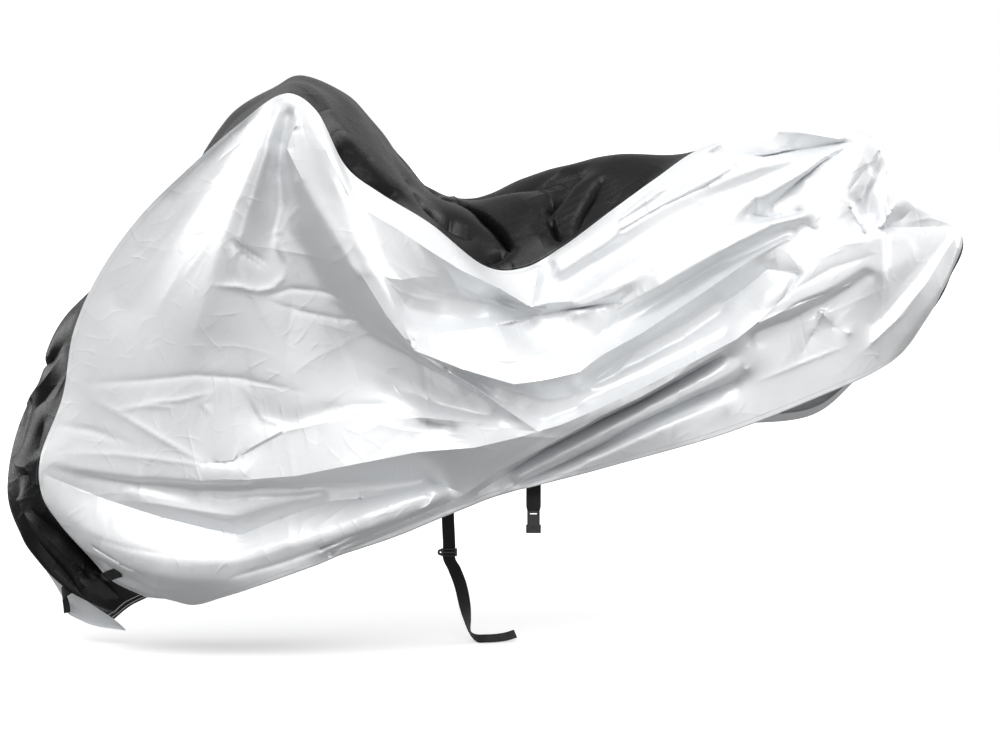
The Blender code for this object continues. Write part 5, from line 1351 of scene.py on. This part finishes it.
def studio():
    """A pale floor without an end, soft lights above, in front and at each side, and the camera."""
    colours = {"Base_Color": grey(0.85), "Emission_Color": grey(1.0), "Emission_Strength": 0.30}
    floor = Finish("studio_floor", roughness=0.9, **colours)
    lies = {"fill_type": "NGON", "location": (0, 0, GROUND)}
    bpy.ops.mesh.primitive_circle_add(vertices=64, radius=FLOOR_RADIUS, **lies)
    ground = bpy.context.object
    ground.name = "floor"
    ground.data.materials.append(floor.material)
    ground.visible_diffuse = False
    ground.visible_glossy = False

    world = bpy.data.worlds.new("studio")
    bpy.context.scene.world = world
    world.use_nodes = True
    room = Nodes(world.node_tree)
    way = room.node("ShaderNodeTexCoord", output="Generated")
    slope = room.node("ShaderNodeSeparateXYZ", inputs={0: way}, output="Z")
    ends = {"Value": slope, "From Min": ROOM_CHANGE[0], "From Max": ROOM_CHANGE[1]}
    share = room.node("ShaderNodeMapRange", {"interpolation_type": "SMOOTHSTEP"}, ends, output="Result")
    tone = room.between(share, grey(ROOM_LIGHT[0]), grey(ROOM_LIGHT[1]))
    seen = room.node("ShaderNodeLightPath", output="Is Camera Ray")
    room.connect(world.node_tree.nodes["Background"].inputs["Color"], room.between(seen, tone, grey(1.0)))

    for name, direction, spread, strength in SOFT_LIGHTS:
        light = bpy.data.lights.new(name, "SUN")
        light.angle = np.radians(spread)
        light.energy = strength
        lamp = bpy.data.objects.new(name, light)
        lamp.rotation_euler = Vector(direction).to_track_quat("Z", "Y").to_euler()
        bpy.context.scene.collection.objects.link(lamp)

    camera = bpy.data.objects.new("camera", bpy.data.cameras.new("camera"))
    camera.data.sensor_width = SENSOR_MM
    camera.data.lens = LENS_MM
    camera.data.clip_end = FARTHEST_SEEN
    down = np.radians(CAMERA_DOWN)
    back, rise = CAMERA_DISTANCE * np.cos(down), CAMERA_DISTANCE * np.sin(down)
    camera.location = (CAMERA_AIM[0], -back, CAMERA_AIM[1] - BAR_HEIGHT + rise)
    camera.rotation_euler = (np.pi / 2 - down, 0, 0)
    bpy.context.scene.collection.objects.link(camera)
    bpy.context.scene.camera = camera
    bpy.context.scene.view_settings.view_transform = "Standard"


def laid_on(points, rows, clearance):
    """Rows of webbing moved along Y until they lie on the cloth's points."""
    flat = points.reshape(-1, 3)
    laid = []
    for (x, _, height), way in rows:
        nearest = np.argsort(np.hypot(flat[:, 0] - x, flat[:, 2] - height))[:4]
        laid.append(((x, float(flat[nearest, 1].mean()) + clearance, height), way))
    return laid


def small_pieces(near_points, far_points):
    """The straps, the tabs, the buckle's half and the slide."""
    webbing, plastic = webbing_cloth(), buckle_plastic()
    near_strap, far_strap, near_tab, far_tab = (
        [(np.array(place) / 1000, way) for place, way in rows]
        for rows in (NEAR_STRAP, FAR_STRAP, NEAR_TAB, FAR_TAB)
    )
    near_strap[:1] = laid_on(near_points, near_strap[:1], STRAP_INSIDE)
    far_strap[:1] = laid_on(far_points, far_strap[:1], -STRAP_INSIDE)
    near_tab = laid_on(near_points, near_tab, -TAB_CLEARANCE)
    for name, node, carrier, rows, width, layer, folded_back, gather in (
        ("near_strap_band", "near_strap", "near_side", near_strap, NEAR_WIDTH, TAB_LAYER, True, GATHER),
        ("far_strap_band", "far_strap", "far_side", far_strap, FAR_WIDTH, WEBBING, False, 0),
        ("near_tab_loop", "near_tab", "near_side", near_tab, TAB_WIDTH, TAB_LAYER, True, 0),
        ("far_tab_loop", "far_tab", "top_strip", far_tab, TAB_WIDTH, TAB_LAYER, True, 0),
    ):
        band, flat = webbing_band(name, rows, width, layer, webbing, folded_back, gather)
        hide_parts(node)
    for piece, node in ((buckle_half(plastic), "buckle_body"), (slide_adjuster(plastic), "strap_slide")):
        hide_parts(node)


def main():
    bpy.ops.object.select_all(action="DESELECT")
    studio()
    silver, black = silver_cloth(), black_cloth()
    near_lines, far_lines = (NEAR_SEAM, NEAR_HEM, NEAR_BELLY), (FAR_SEAM, FAR_HEM, FAR_BELLY)
    near, near_points = side_panel(
        "near_side", -1, near_lines, NEAR_GRID, NEAR_FOLDS, NEAR_LINES, NEAR_SEEDS, silver, SHOULDER
    )
    far, far_points = side_panel(
        "far_side", 1, far_lines, FAR_GRID, FAR_FOLDS, FAR_LINES, FAR_SEEDS, silver
    )
    for piece, node, slot, flat, area in (
        (near, "near_panel", "silver_cloth", (0.95, 2.05), 1.19),
        (far, "far_panel", "silver_cloth", (0.95, 2.05), 1.19),
        (top_strip(black), "centre_strip", "black_cloth", (0.35, 3.30), 0.80),
    ):
        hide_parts(node)
    small_pieces(near_points, far_points)


main()
